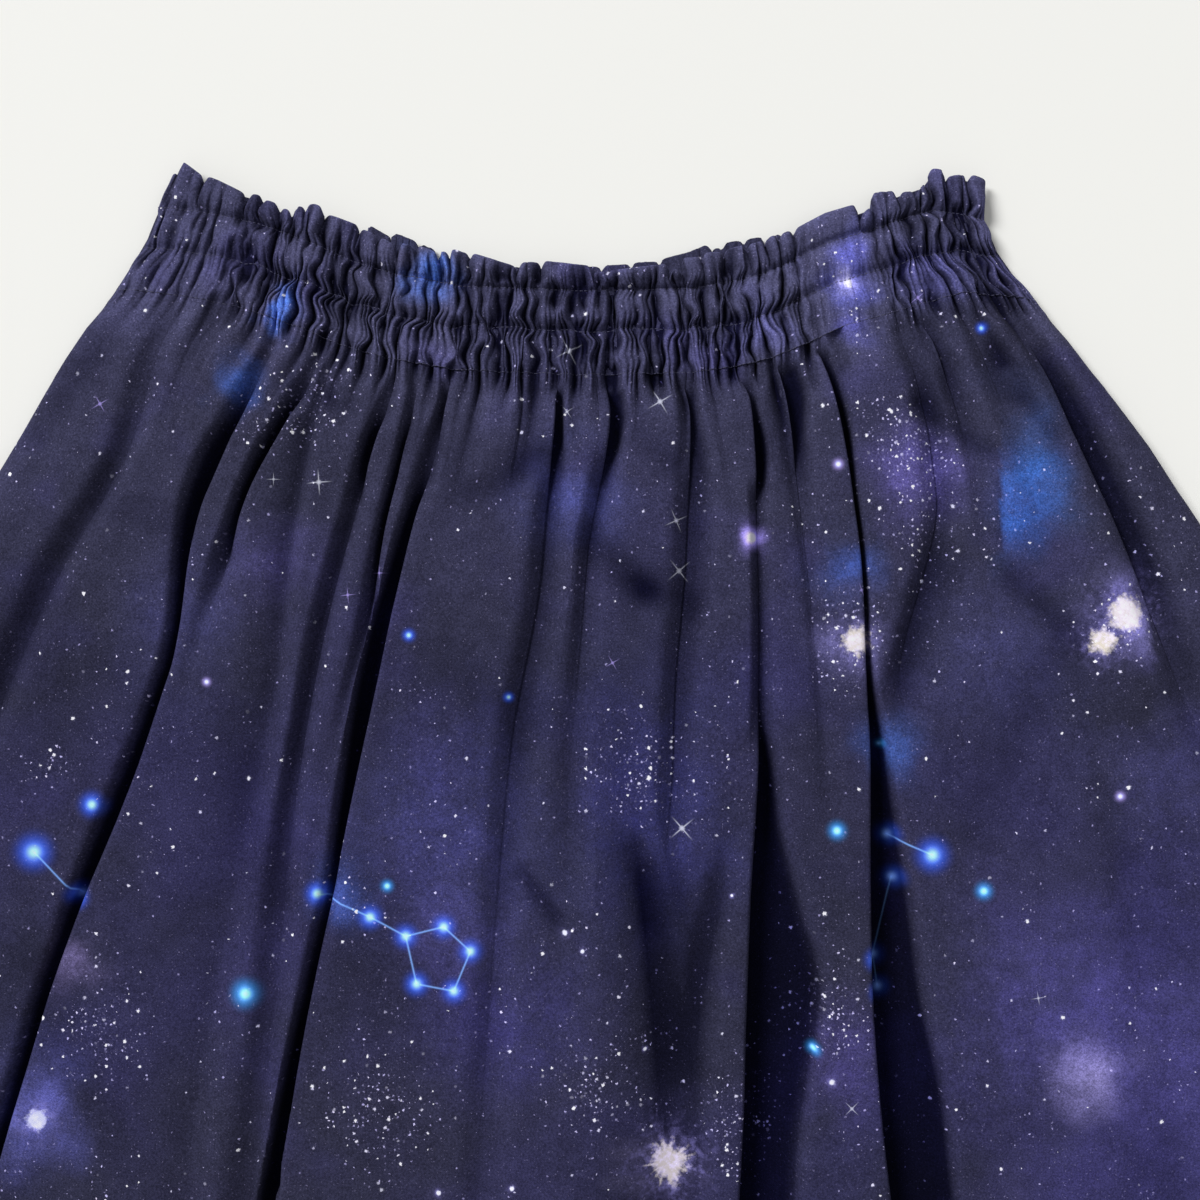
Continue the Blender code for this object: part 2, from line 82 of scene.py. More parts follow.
BACK_PETALS = (
    (-156, 6, 10), (-145, 10, 10.5), (-130, 9.5, 7.5), (-115, 7, 7), (-100, 10, 11),
    (-81.2, 15.5, 13), (-71.2, 15.5, 13.5), (-61.5, 13.5, 11.5), (-54, 9.8, 9.8), (-47, 12.5, 12),
    (-41.5, 9, 7.5), (-27.8, 8.4, 8), (-20, 6, 6.5), (0.7, 9.2, 9), (8.2, 9.4, 9.8),
    (19.5, 10.3, 10.6), (30.3, 11.3, 15.8), (49.6, 13.5, 13.8), (54.4, 15.2, 15), (62.2, 14.6, 14),
    (69.6, 12.5, 12), (77, 9, 8), (95, 7.5, 8), (115, 8.5, 9.5), (130, 8, 11),
)
FLAT_PLACES = ((-0.90, 0.10, 0.40), (0.62, 0.10, 0.20))
FOLD_DOWN = (0.040, 0.100, 0.170, 0.300, 0.6315)
SHAPE_DOWN = (0.045, 0.065, 0.090, 0.150, 0.195, 0.232, 0.268, 0.320, 0.6315)
NO_FLOOR = (0, 0, 0, 0, 0, 0, 0, 0, 0)
FOLDS = (
    # name, place across of the groove's steep edge at FOLD_DOWN, steep side,
    # then at SHAPE_DOWN: depth share, half width and extra floor in millimetres
    ("side_left", (-0.870, -0.830, -0.840, -0.840, -0.850), 1,
     (0.3, 0.4, 0.48, 0.5, 0.5, 0.5, 0.45, 0.45, 0.4), (4, 5, 5, 6, 6, 6, 7, 8, 12), NO_FLOOR),
    ("deep_left", (-0.680, -0.681, -0.628, -0.680, -0.748), 1,
     (0.5, 0.7, 0.95, 1.0, 1.0, 1.0, 1.0, 1.0, 0.7), (3, 4, 4.5, 4, 4.6, 4.8, 4.4, 4.2, 9),
     (0, 0, 2.5, 0, 0.3, 0.5, 0.3, 0, 0)),
    ("merging_left", (-0.588, -0.612, -0.600, -0.590, -0.560), 1,
     (0.45, 0.88, 1.0, 0.15, 0.0, 0.0, 0.0, 0.0, 0.0), (3, 4, 4, 4, 5, 6, 6, 6, 8), NO_FLOOR),
    ("soft_left", (-0.560, -0.525, -0.480, -0.480, -0.490), 1,
     (0.35, 0.45, 0.5, 0.45, 0.4, 0.3, 0.3, 0.3, 0.2), (3, 4, 5, 6, 7, 8, 8, 8, 10), NO_FLOOR),
    ("pipe_left", (-0.423, -0.429, -0.421, -0.400, -0.410), 1,
     (0.5, 0.95, 0.52, 0.52, 0.5, 0.45, 0.4, 0.4, 0.4), (3.5, 4.5, 3.5, 4, 5, 6, 6, 7, 9),
     NO_FLOOR),
    ("pipe_right", (-0.366, -0.360, -0.364, -0.380, -0.380), 1,
     (0.5, 0.8, 0.85, 0.3, 0.0, 0.0, 0.0, 0.0, 0.0), (2, 2.5, 3, 3, 5, 6, 6, 6, 8), NO_FLOOR),
    ("deep_centre", (-0.298, -0.320, -0.328, -0.361, -0.450), 1,
     (0.8, 0.55, 0.92, 1.0, 1.0, 0.75, 0.85, 1.0, 0.7), (3.5, 4, 4.2, 5.5, 4.5, 3.5, 4.2, 5, 9),
     (0, 0, 0.5, 2, 0.5, 0, 0, 1, 0.5)),
    ("centre", (-0.051, -0.058, -0.095, -0.115, -0.140), -1,
     (0.95, 0.74, 0.58, 0.5, 0.45, 0.4, 0.35, 0.3, 0.2), (4, 5.5, 6.5, 7, 7, 7, 7, 8, 12),
     NO_FLOOR),
    ("centre_right", (0.075, 0.020, -0.005, -0.020, -0.030), -1,
     (0.95, 0.72, 0.45, 0.3, 0.2, 0.1, 0.1, 0.0, 0.0), (5, 5, 5, 6, 6, 7, 8, 8, 9),
     (1.5, 0, 0, 0, 0, 0, 0, 0, 0)),
    ("low_middle", (0.120, 0.090, 0.072, 0.098, 0.060), -1,
     (0.0, 0.0, 0.0, 0.05, 0.40, 0.72, 0.70, 0.62, 0.3), (3, 3, 3, 5, 6.5, 7.5, 8, 8.5, 10),
     (0, 0, 0, 0, 0.5, 2.5, 4, 4.5, 2)),
    ("soft_right", (0.245, 0.205, 0.149, 0.105, 0.100), -1,
     (0.85, 0.7, 0.60, 0.52, 0.42, 0.2, 0.0, 0.0, 0.0), (4, 6, 7, 7, 7, 7, 8, 8, 12),
     (0, 1, 2, 1, 0, 0, 0, 0, 0)),
    ("low_cross", (0.300, 0.280, 0.240, 0.140, 0.125), 1,
     (0.0, 0.0, 0.0, 0.0, 0.0, 0.56, 0.56, 0.48, 0.1), (3, 3, 3, 5, 5, 6.5, 7, 7, 8),
     (0, 0, 0, 0, 0, 0.5, 1.5, 1, 0)),
    ("deep_right", (0.377, 0.328, 0.275, 0.210, 0.137), -1,
     (0.85, 1.0, 0.5, 0.6, 1.0, 1.0, 1.0, 1.0, 0.8), (3.5, 4.5, 3, 3.2, 6, 7, 7, 7, 9),
     (0, 1, 0, 0, 2.5, 12, 22, 15.5, 8)),
    ("short_right", (0.457, 0.414, 0.372, 0.340, 0.310), -1,
     (1.0, 0.8, 0.35, 0.2, 0.1, 0.0, 0.0, 0.0, 0.2), (5.5, 5, 4.5, 4, 5, 6, 6, 6, 8),
     (3, 0, 0, 0, 0, 0, 0, 0, 0)),
    ("long_right", (0.546, 0.506, 0.440, 0.383, 0.418), -1,
     (0.95, 1.0, 0.9, 0.85, 1.0, 1.0, 1.0, 1.0, 0.8), (4, 4, 2.6, 2.8, 5, 6, 7, 7, 9),
     (0, 0, 0, 0, 3, 8, 11, 17, 8)),
    ("shadow_right", (0.712, 0.659, 0.500, 0.520, 0.540), -1,
     (0.4, 0.5, 0.55, 0.45, 0.0, 0.0, 0.0, 0.0, 0.0), (4, 5, 6.5, 7, 7, 8, 8, 8, 8), NO_FLOOR),
    ("hollow_right", (0.765, 0.720, 0.640, 0.620, 0.620), -1,
     (0.75, 0.6, 0.3, 0.0, 0.0, 0.0, 0.0, 0.0, 0.0), (4, 5, 6, 6, 7, 8, 8, 8, 8), NO_FLOOR),
    ("band_right", (0.840, 0.800, 0.750, 0.720, 0.720), -1,
     (0.4, 0.4, 0.25, 0.1, 0.1, 0.2, 0.25, 0.2, 0.2), (4, 5, 6, 7, 8, 9, 9, 9, 9), NO_FLOOR),
    ("side_right", (0.930, 0.894, 0.867, 0.850, 0.860), -1,
     (0.5, 0.72, 0.78, 0.72, 0.40, 0.15, 0.15, 0.2, 0.3), (3.5, 4, 5, 5.5, 6.5, 7, 8, 8, 9),
     (0.5, 2, 4, 4.5, 3.5, 2, 1, 0, 0)),
)

# ---- sizes of the fine cloth ----
CUT_TOP = 0.70               # each panel as cut, seam to seam, at the casing
CUT_HEM = 0.80               # and at the hem
CLOTH = 0.0005               # thickness of the cotton
FLOOR_LIFT = 0.0018          # outer face of the front panel in its deepest grooves
PUFF_DOWN = (0.0315, 0.036, 0.043, 0.055, 0.100, 0.170, 0.300, 0.450, 0.6315)
PUFF_HEIGHT = (0.0088, 0.0092, 0.0102, 0.0115, 0.0126, 0.0132, 0.0132, 0.0115, 0.0088)
EDGE_LIFT = 0.0030           # and along the casing's side edges
SIDE_ROLL = 0.014
CASING_ROLL = 0.006

# Cross-section of a groove: distance from its steep edge in half widths, positive at the steep
# wall, and share of the ridge's height there, for a shut fold and for a soft hollow.
SHUT_AT = (-1.45, -1.05, -0.80, -0.55, -0.30, 0.12, 0.22, 0.34, 0.50, 0.80)
SHUT_LIFT = (1.0, 0.93, 0.62, 0.18, 0.02, 0.0, 0.22, 0.72, 0.97, 1.0)
SOFT_AT = (-1.60, -1.10, -0.60, -0.20, 0.12, 0.45, 0.80, 1.20, 1.6)
SOFT_LIFT = (1.0, 0.82, 0.36, 0.06, 0.0, 0.18, 0.54, 0.88, 1.0)
# The fold above the steep wall leans over the groove: sideways shift, in share of OVERHANG.
LEAN_AT = (-0.6, -0.1, 0.12, 0.25, 0.40, 0.60, 1.0)
LEAN_SHIFT = (0.0, 0.45, 1.0, 0.6, -0.45, -0.30, 0.0)
OVERHANG = 0.0026
PUFF_UNEVEN = 0.14           # the ridges are this share higher and lower from place to place
# Wrinkles of the panel: height, length across and down, seed.
WRINKLES = ((0.00065, 0.016, 0.050, 32), (0.00018, 0.006, 0.018, 33))
HEM_TURN = 0.020             # the hem's stitching stands this far above its edge
HEM_STEP = 0.00035           # and the doubled cloth below it this far proud
OVERHANG_DOWN = (0.0315, 0.045, 0.300, 0.500, 0.6315)
OVERHANG_SHARE = (0.0, 1.0, 1.0, 0.5, 0.2)


def ease(share):
    """A share from 0 to 1 that starts and ends gently."""
    return share * share * (3 - 2 * share)


def smooth_table(x, xs, ys):
    """Smooth curve through a table, with no overshoot, flat beyond its ends."""
    xs, ys = np.asarray(xs, float), np.asarray(ys, float)
    steps = np.diff(xs)
    slopes = np.diff(ys) / steps
    tangents = np.zeros_like(ys)
    before, after = slopes[:-1], slopes[1:]
    same = before * after > 0
    weight_one, weight_two = 2 * steps[1:] + steps[:-1], steps[1:] + 2 * steps[:-1]
    with np.errstate(divide="ignore", invalid="ignore"):
        mean = (weight_one + weight_two) / (weight_one / before + weight_two / after)
    tangents[1:-1] = np.where(same, mean, 0.0)
    x = np.clip(x, xs[0], xs[-1])
    cell = np.clip(np.searchsorted(xs, x, side="right") - 1, 0, len(xs) - 2)
    step = steps[cell]
    t = (x - xs[cell]) / step
    return (ys[cell] * (1 + 2 * t) * (1 - t) ** 2 + ys[cell + 1] * ease(t)
            + tangents[cell] * step * t * (1 - t) ** 2
            - tangents[cell + 1] * step * t * t * (1 - t))


def soft_noise(x, y, seed):
    """Smooth noise from -1 to 1 over arrays x and y, with one random value per unit square."""
    rng = np.random.default_rng(seed)
    size = 256
    values = rng.uniform(-1.0, 1.0, (size, size))
    x, y = np.broadcast_arrays(x, y)
    column, row = np.floor(x).astype(int), np.floor(y).astype(int)
    u, v = ease(x - column), ease(y - row)
    corner = [values[(row + i) % size, (column + j) % size] for i in (0, 1) for j in (0, 1)]
    upper = corner[0] * (1 - u) + corner[1] * u
    lower = corner[2] * (1 - u) + corner[3] * u
    return upper * (1 - v) + lower * v


def fan_place(across, down, steps=40):
    """Places on the surface, as x and y from the middle of the waist."""
    across, down = np.broadcast_arrays(np.asarray(across, float), np.asarray(down, float))
    sine, cosine = np.zeros(across.shape), np.zeros(across.shape)
    for step in range(steps):
        along = down * (step + 0.5) / steps
        angle = np.radians(np.interp(along, LEAN_DOWN, LEAN_DEGREES)) * across
        sine += np.sin(angle) / steps
        cosine += np.cos(angle) / steps
    left = np.interp(down, SIDE_DOWN, LEFT_OUT) * np.clip(-across, 0, 1) ** SIDE_POWER
    right = np.interp(down, SIDE_DOWN, RIGHT_OUT) * np.clip(across, 0, 1) ** SIDE_POWER
    x = WAIST_HALF * across + down * sine - left + right
    y = np.interp(across, WAIST_ACROSS, WAIST_RISE) - down * cosine
    return x, y


def waist_offset():
    """Where the middle of the waist lies in the frame, from the front panel's box."""
    low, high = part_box("front_panel")
    across = np.linspace(-1.0, 1.0, 401)
    x, y = fan_place(across, SKIRT_LENGTH)
    return high[0] - x[-1], low[1] - y.min()


OFFSET_X, OFFSET_Y = waist_offset()
HALF_DOWN = np.linspace(-0.02, SKIRT_LENGTH, 220)
HALF_WIDTHS = fan_place(1.0, HALF_DOWN)[0]


def half_width_at(down):
    """Half of the skirt's width at each distance down."""
    return np.interp(down, HALF_DOWN, HALF_WIDTHS)


# ---------------------------------------------------------------- the front panel's shape
def fold_at(fold, down):
    """Steep edge across, depth share, half width, extra floor and overhang at each 'down'."""
    name, across, _, depth, half_width, extra = fold
    seed = sum(ord(letter) for letter in name)
    wander = soft_noise(down / 0.045, 0.0 * down + 0.5, seed) * 0.0010
    settle = np.clip((down - 0.045) / 0.05, 0.0, 1.0)
    middle = smooth_table(down, FOLD_DOWN, across) + wander * settle / half_width_at(down)
    breathe = 1.0 + 0.15 * soft_noise(down / 0.06, 0.0 * down + 3.5, seed + 1)
    share = np.clip(smooth_table(down, SHAPE_DOWN, depth) * (0.9 + 0.1 * breathe), 0.0, 1.0)
    width = smooth_table(down, SHAPE_DOWN, half_width) * MILLIMETRE * breathe
    floor = smooth_table(down, SHAPE_DOWN, extra) * MILLIMETRE
    lean = OVERHANG * np.interp(down, OVERHANG_DOWN, OVERHANG_SHARE) * share ** 2
    return middle, share, width, floor, lean


def groove_lift(reach, share):
    """Share of the ridge's height left by a groove at each reach from its steep edge."""
    shut = np.clip((share - 0.62) / 0.25, 0.0, 1.0)
    lift = (smooth_table(reach, SHUT_AT, SHUT_LIFT) * shut
            + smooth_table(reach, SOFT_AT, SOFT_LIFT) * (1.0 - shut))
    return 1.0 - share * (1.0 - lift)


def guide_lines(down):
    """Across positions, row by row, of the lines that the panel's columns follow."""
    half = half_width_at(down)
    lines = [np.full_like(down, -1.0)]
    for fold in FOLDS:
        middle, _, width, floor, _ = fold_at(fold, down)
        offsets = [(-1.45 * width - floor), (-0.5 * width - floor), 0.0 * width, 0.3 * width,
                   0.55 * width, 0.9 * width]
        for offset in offsets[::fold[2]]:
            lines.append(middle + fold[2] * offset / half)
    lines.append(np.full_like(down, 1.0))
    lines = np.array(lines)
    least = 0.0004 / half
    for index in range(1, len(lines)):
        lines[index] = np.maximum(lines[index], lines[index - 1] + least)
    for index in range(len(lines) - 2, -1, -1):
        lines[index] = np.minimum(lines[index], lines[index + 1] - least)
    return lines


def panel_columns(count, groove_weight=2.6):
    """Columns of the panel by their place across at the casing, denser at the folds' edges."""
    start = np.array([CASING])
    samples = np.linspace(-1.0, 1.0, 4001)
    weight = np.ones_like(samples)
    for fold in FOLDS:
        middle, _, width, _, _ = fold_at(fold, start)
        reach = (samples - middle[0]) * half_width_at(CASING) / width[0] * fold[2]
        weight += groove_weight * np.exp(-((reach - 0.3) / 0.45) ** 2)
    total = np.concatenate([[0.0], np.cumsum(0.5 * (weight[1:] + weight[:-1]))])
    return np.interp(np.linspace(0.0, total[-1], count), total, samples)


def slide(x, y, shift):
    """Moves a grid's points sideways, along its rows."""
    dx, dy = np.gradient(x, axis=1), np.gradient(y, axis=1)
    length = np.maximum(np.hypot(dx, dy), 1e-9)
    return x + shift * dx / length, y + shift * dy / length


def gather_valleys(seed, steps_wanted, spread):
    """Places across of a set of valleys, uneven, from one side seam to the other."""
    rng = np.random.default_rng(seed)
    steps = rng.uniform(1.0 - spread, 1.0 + spread, steps_wanted)
    return -1.0 + 2.0 * np.concatenate([[0.0], np.cumsum(steps)]) / steps.sum()


def calm(across):
    """Share of the gathers' depth left at each point: less where the elastic's ends meet."""
    share = np.ones_like(across)
    for middle, half, left in FLAT_PLACES:
        near = np.clip(1.5 - np.abs(across - middle) / half, 0.0, 1.0)
        share = share * (1.0 - (1.0 - left) * ease(near))
    return share


def side_round(across, down, roll):
    """1 on the body of the cloth, falling to 0 at its side seams along a quarter circle."""
    inset = np.clip((1.0 - np.abs(across)) * half_width_at(down) / roll, 0.0, 1.0)
    return np.sqrt(np.maximum(1.0 - (1.0 - inset) ** 2, 0.0))


# Creases pressed into the front panel, which also darken it with painted shade: from x, y to x, y,
# half width, depth.
CREASES = (
    (-38.1, -85.1, -12.6, -70, 7.5, 2.6), (18, -56, 35, -74, 6, 2.2), (3.7, -102, 24, -120, 8, 2.9),
    (24, -120, 43, -126, 7, 2.2), (-101.4, -46.3, -85.1, -52.9, 6, 2.6),
    (155, -81.4, 155.5, -103.6, 1.6, 1.6), (135, -112, 118, -155, 9, 2.9),
    (25.9, -37, 28.5, -43, 3, 2.6), (-170, -90, -150, -98, 9, 1.9), (-50, -150, -20, -170, 15, 1.9),
    (-21, -225, -8, -242, 4, 3.2), (18, -215, 25, -245, 3.5, 2.9), (170, -150, 145, -210, 12, 1.9),
    (-130, -170, -115, -230, 12, 1.6), (-200, -260, -170, -320, 14, 1.9),
    (40, -330, 0, -420, 16, 1.9), (210, -330, 240, -430, 15, 2.1), (159, -116, 186, -140, 7, 2.8),
    (126, -52, 152, -70, 4.5, 2.6), (164, -50, 176, -64, 4, 2), (-70, -430, -110, -520, 16, 1.9),
    (35, -233, 38, -295, 12, 3.4), (215, -215, 218, -250, 17, 2), (-178, -30, -200, -62, 8.5, 2.2),
    (-55, -34, -58, -72, 13, 1.5), (64, -33, 66, -64, 11, 1.4), (124, -29, 130, -48, 8, 2.2),
    (156, -33, 162, -45, 7, 2.4), (83.5, -27, 86, -44, 2.4, 3), (94.5, -25, 97.5, -39, 2.6, 2.8),
    (148, -20, 156, -36, 3, 2.4),
)


def crease_depth(x, y):
    """How far the creases press the cloth down at each place."""
    depth = np.zeros_like(x)
    for x_one, y_one, x_two, y_two, half_width, deep in MILLIMETRE * np.array(CREASES):
        length = math.hypot(x_two - x_one, y_two - y_one)
        along = ((x - x_one) * (x_two - x_one) + (y - y_one) * (y_two - y_one)) / length ** 2
        near = np.clip(along, 0.0, 1.0)
        away = np.hypot(x - x_one - near * (x_two - x_one), y - y_one - near * (y_two - y_one))
        depth += deep * np.exp(-(away / half_width) ** 2)
    return depth


def panel_points(columns, rows):
    """Points of the front panel's outer face, rows by columns, and the painted shade at each."""
    start = guide_lines(np.array([CASING]))[:, 0]
    lines = guide_lines(rows)
    across = np.array([np.interp(columns, start, lines[:, row]) for row in range(len(rows))])
    down = np.repeat(rows[:, None], len(columns), axis=1)
    half = half_width_at(down)
    lift = np.ones_like(across)
    shift = np.zeros_like(across)
    settle = ease(np.clip((down - CASING) / 0.009, 0.0, 1.0))
    for fold in FOLDS:
        middle, share, width, floor, lean = (value[:, None] for value in fold_at(fold, rows))
        away = (across - middle) * half * fold[2]
        reach = np.where(away > 0.0, away, np.minimum(away + floor, 0.0)) / width
        lift = np.minimum(lift, groove_lift(reach, share * settle))
        shift += fold[2] * lean * smooth_table(reach, LEAN_AT, LEAN_SHIFT) * settle
    dip, sway, wobble, crown, pit = gathers(columns, down)
    across = np.clip(across + wobble, -1.0, 1.0)
    x, y = slide(*fan_place(across, down), shift + sway)
    edge = np.interp(down, (CASING, 0.060), (EDGE_LIFT, FLOOR_LIFT))
    ridge = smooth_table(down, PUFF_DOWN, PUFF_HEIGHT) - edge
    spread = np.clip((down - CASING) / 0.03, 0.0, 1.0)
    ridge = ridge * (1.0 + PUFF_UNEVEN * spread * soft_noise(x / 0.05, y / 0.11, 31)) + crown
    wrinkle = spread * sum(high * soft_noise(x / wide, y / tall, seed)
                           for high, wide, tall, seed in WRINKLES)
    body = np.clip(lift, 0.0, 1.0) * (ridge - np.minimum(dip, ridge - 0.0004)) + wrinkle * lift
    pressed = crease_depth(x, y) * lift
    body -= pressed
    roll = np.interp(down, (CASING, 0.080), (CASING_ROLL, SIDE_ROLL))
    z = edge + np.maximum(body, -0.0002) * side_round(across, down, roll) + hem_step(down)
    # Painted highlight on the crests just below the casing, and painted shade in the grooves,
    # gathers' valleys and creases, as one value: above 0 for shade, below 0 for highlight.
    painted_top_highlight = CREST_SHADE * np.clip(1.0 - (down - CASING) / 0.03, 0.0, 1.0) * (1.0 - pit)
    shade = np.maximum(np.clip(1.0 - lift, 0.0, 1.0) ** SOFT_SHADE, PIT_SHADE * pit)
    return x, y, z, shade + CREASE_SHADE * pressed / CREASE_DEPTH + painted_top_highlight


def hem_step(down):
    """The turned hem: a doubled strip that stands a little proud of the cloth above it."""
    above = SKIRT_LENGTH - HEM_TURN - 0.002
    return HEM_STEP / (1.0 + np.exp(-(down - above) / 0.0005))


# ---------------------------------------------------------------- the gathers
GATHER_DOWN = (-0.012, -0.004, 0.0, 0.0045, 0.0105, 0.0150, 0.0195, 0.0260, 0.0315, 0.0450)
CASING_DOWN = (0.0, 0.0030, 0.0075, 0.0120, 0.0150, 0.0185, 0.0240, 0.0315)
CASING_CREST = (0.0064, 0.0084, 0.0092, 0.0082, 0.0060, 0.0080, 0.0090, 0.0088)
CASING_FLOOR = 0.0036        # the deepest valleys of the upper casing
BACK_DEPTH = 0.0030          # the highest folds of the lower casing
CASING_DEPTH = (0.0030, 0.0048, 0.0054, 0.0046, 0.0026, 0.0045, 0.0054, 0.0050)
FRILL_SHARE = (0.0, 0.25, 0.60, 0.90, 1.0)
FRILL_CREST = (0.0064, 0.0082, 0.0088, 0.0082, 0.0072)
FRILL_DEPTH = (0.0030, 0.0038, 0.0022, 0.0010, 0.0007)
PANEL_FALL = (0.0, 0.004, 0.010, 0.020, 0.060)
PANEL_DEPTH = (0.0050, 0.0054, 0.0058, 0.0062, 0.0062)
FINE_AT = (-0.0060, -0.0030, 0.0, 0.0030, 0.0075, 0.0110, 0.0150, 0.0200, 0.0240, 0.0290,
           0.0315, 0.0350, 0.0420)
FINE_DEPTH = (0.0002, 0.0007, 0.0012, 0.0006, 0.0003, 0.0011, 0.0024, 0.0016, 0.0009, 0.0008,
              0.0012, 0.0009, 0.0)
VALLEY_POWER = 1.3           # how square the valleys are
VALLEY_SPREAD = 0.45         # the valleys' distances differ by this share
VALLEY_DEPTHS = (0.45, 1.25)  # depth of each valley at each level, as a share of the row's
SHALLOW_ODDS = 0.2           # chance that one is shallow between two rows of stitching
SHALLOW = 0.15               # share of its depth that it keeps
VALLEY_WIDTHS = (0.0005, 0.0010)
SLACKS = (0.7, 1.2, 2.6)     # each side of a valley is this many times as wide
SLACK_ODDS = (0.30, 0.30, 0.40)
DRIFT = 0.33                 # valleys wander by this share of their distance
SWAY = 0.0013                # crests lean sideways by up to this
CROWN = 0.0006               # and are this much higher or lower
REACHES = (0.008, 0.012, 0.017, 0.025, 0.040)  # how far down the panel a gather runs
REACH_ODDS = (0.22, 0.28, 0.24, 0.16, 0.10)
FINE_COUNT = 2.4             # fine pinches for each gather
SOFT_SHADE = 1.45            # shallow folds' painted shade is this power of a deep fold's
PIT_SHADE = 0.72             # how dark the painted shade makes the gathers' valleys, beside a deep fold's floor
CREST_SHADE = -0.5           # how pale the painted highlight makes their crests
FRILL_SHADE = 0.65           # share of PIT_SHADE at the frill's edge
CREASE_SHADE = 0.36          # and how dark the painted shade makes a crease of CREASE_DEPTH
CREASE_DEPTH = 0.0025


def level_value(table, number, down):
    """Value of each gather's table at each place down, joined smoothly between its levels."""
    cell = np.clip(np.searchsorted(GATHER_DOWN, down, side="right") - 1, 0,
                   len(GATHER_DOWN) - 2)
    knots = np.array(GATHER_DOWN)
    part = ease(np.clip((down - knots[cell]) / (knots[cell + 1] - knots[cell]), 0.0, 1.0))
    return table[cell, number] * (1.0 - part) + table[cell + 1, number] * part


def gathers(columns, down, seed=21, frill=0.0, count=GATHERS):
    """Dip, sideways lean, wobble across, crown and shade of the gathers at each column and down."""
    rng = np.random.default_rng(seed)
    valleys = gather_valleys(11, count, VALLEY_SPREAD)
    levels = (len(GATHER_DOWN), count + 1)
    deep = rng.uniform(*VALLEY_DEPTHS, levels)
    open_rows = [row for row, down_at in enumerate(GATHER_DOWN) if down_at not in STITCH_ROWS]
    shallow = rng.random((len(open_rows), count + 1)) < SHALLOW_ODDS
    deep[open_rows] *= np.where(shallow, SHALLOW, 1.0)
    width = rng.uniform(*VALLEY_WIDTHS, levels) * GATHERS / count
    slack = rng.choice(SLACKS, (2, count + 1), p=SLACK_ODDS)
    drift = rng.uniform(-DRIFT, DRIFT, levels) * 2.0 / count
    drift[-1] = 0.0
    sway = rng.uniform(-1.0, 1.0, levels) * SWAY
    rise = rng.uniform(-1.0, 1.0, levels) * CROWN
    reach = rng.choice(REACHES, count + 1, p=REACH_ODDS)
    columns = columns + 0.0 * down
    number = np.clip(np.searchsorted(valleys, columns, side="right") - 1, 0, count - 1)
    phase = (columns - valleys[number]) / (valleys[number + 1] - valleys[number])
    fall = np.maximum(down - CASING, 0.0)
    strength = np.where(down < CASING, smooth_table(down, CASING_DOWN, CASING_DEPTH),
                        np.interp(fall, PANEL_FALL, PANEL_DEPTH))
    strength = np.where(frill > 0.0, smooth_table(frill, FRILL_SHARE, FRILL_DEPTH), strength)
    flat = calm(columns)
    dip, open_crest = np.zeros_like(down), np.ones_like(down)
    for valley in (number, number + 1):
        away = (columns - valleys[valley]) * half_width_at(down)
        wide = level_value(width, valley, down) * np.where(away > 0.0, *slack[:, valley])
        notch = np.exp(-(np.abs(away) / (wide + 0.10 * fall)) ** VALLEY_POWER)
        fade = np.exp(-(fall / reach[valley]) ** 1.6)
        dip += level_value(deep, valley, down) * notch * fade
        open_crest -= notch * fade
    rest = np.exp(-(fall / 0.014) ** 1.6)
    wobble = (level_value(drift, number, down) * (1.0 - phase)
              + level_value(drift, number + 1, down) * phase) * flat
    fine_ends = gather_valleys(seed + 1, int(GATHERS * FINE_COUNT), 0.5)
    settled = np.clip((CASING - down) / 0.004, 0.0, 1.0)
    bent = columns + 0.007 * soft_noise(columns / 0.05, down / 0.006, seed + 5) * settled
    near = np.clip(np.searchsorted(fine_ends, bent) - 1, 0, len(fine_ends) - 2)
    away = np.minimum(bent - fine_ends[near], fine_ends[near + 1] - bent)
    fine = np.exp(-(np.abs(away) * half_width_at(down) / 0.0005) ** VALLEY_POWER)
    fine *= np.random.default_rng(seed + 2).uniform(0.5, 1.3, len(fine_ends))[near]
    fine *= np.interp(down, FINE_AT, FINE_DEPTH)
    # Painted shade in the valleys of the gathers and of the fine pinches.
    shade = np.clip(dip + fine / 0.0022, 0.0, 1.0)
    dip = dip * strength + fine
    lean = level_value(sway, number, down) * np.clip(open_crest, 0.0, 1.0) * rest
    crown = level_value(rise, number, down) * np.sin(np.pi * phase) * rest
    return dip * flat, lean * flat, wobble, crown * flat, shade * flat


# ---------------------------------------------------------------- the casings' shape
def petal_edge(across, petals):
    """Frill at each column: rise of its edge, nearness to a petal's end, side, layer, middle."""
    x = across * WAIST_HALF
    starts, firsts, lasts = MILLIMETRE * np.array(petals).T
    ends = np.append(starts[1:], WAIST_HALF + 0.001)
    number = np.clip(np.searchsorted(starts, x, side="right") - 1, 0, len(petals) - 1)
    share = np.clip((x - starts[number]) / (ends[number] - starts[number]), 0.0, 1.0)
    first, last = firsts[number], lasts[number]
    away = np.minimum(x - starts[number], ends[number] - x)
    near = np.exp(-(np.abs(away) / 0.0009) ** 1.5)
    side = np.where(share < 0.5, -1.0, 1.0)
    layer = np.random.default_rng(len(petals)).choice((-1.0, 1.0), len(petals))[number]
    return first + (last - first) * share, near, side, layer, np.sin(np.pi * share)


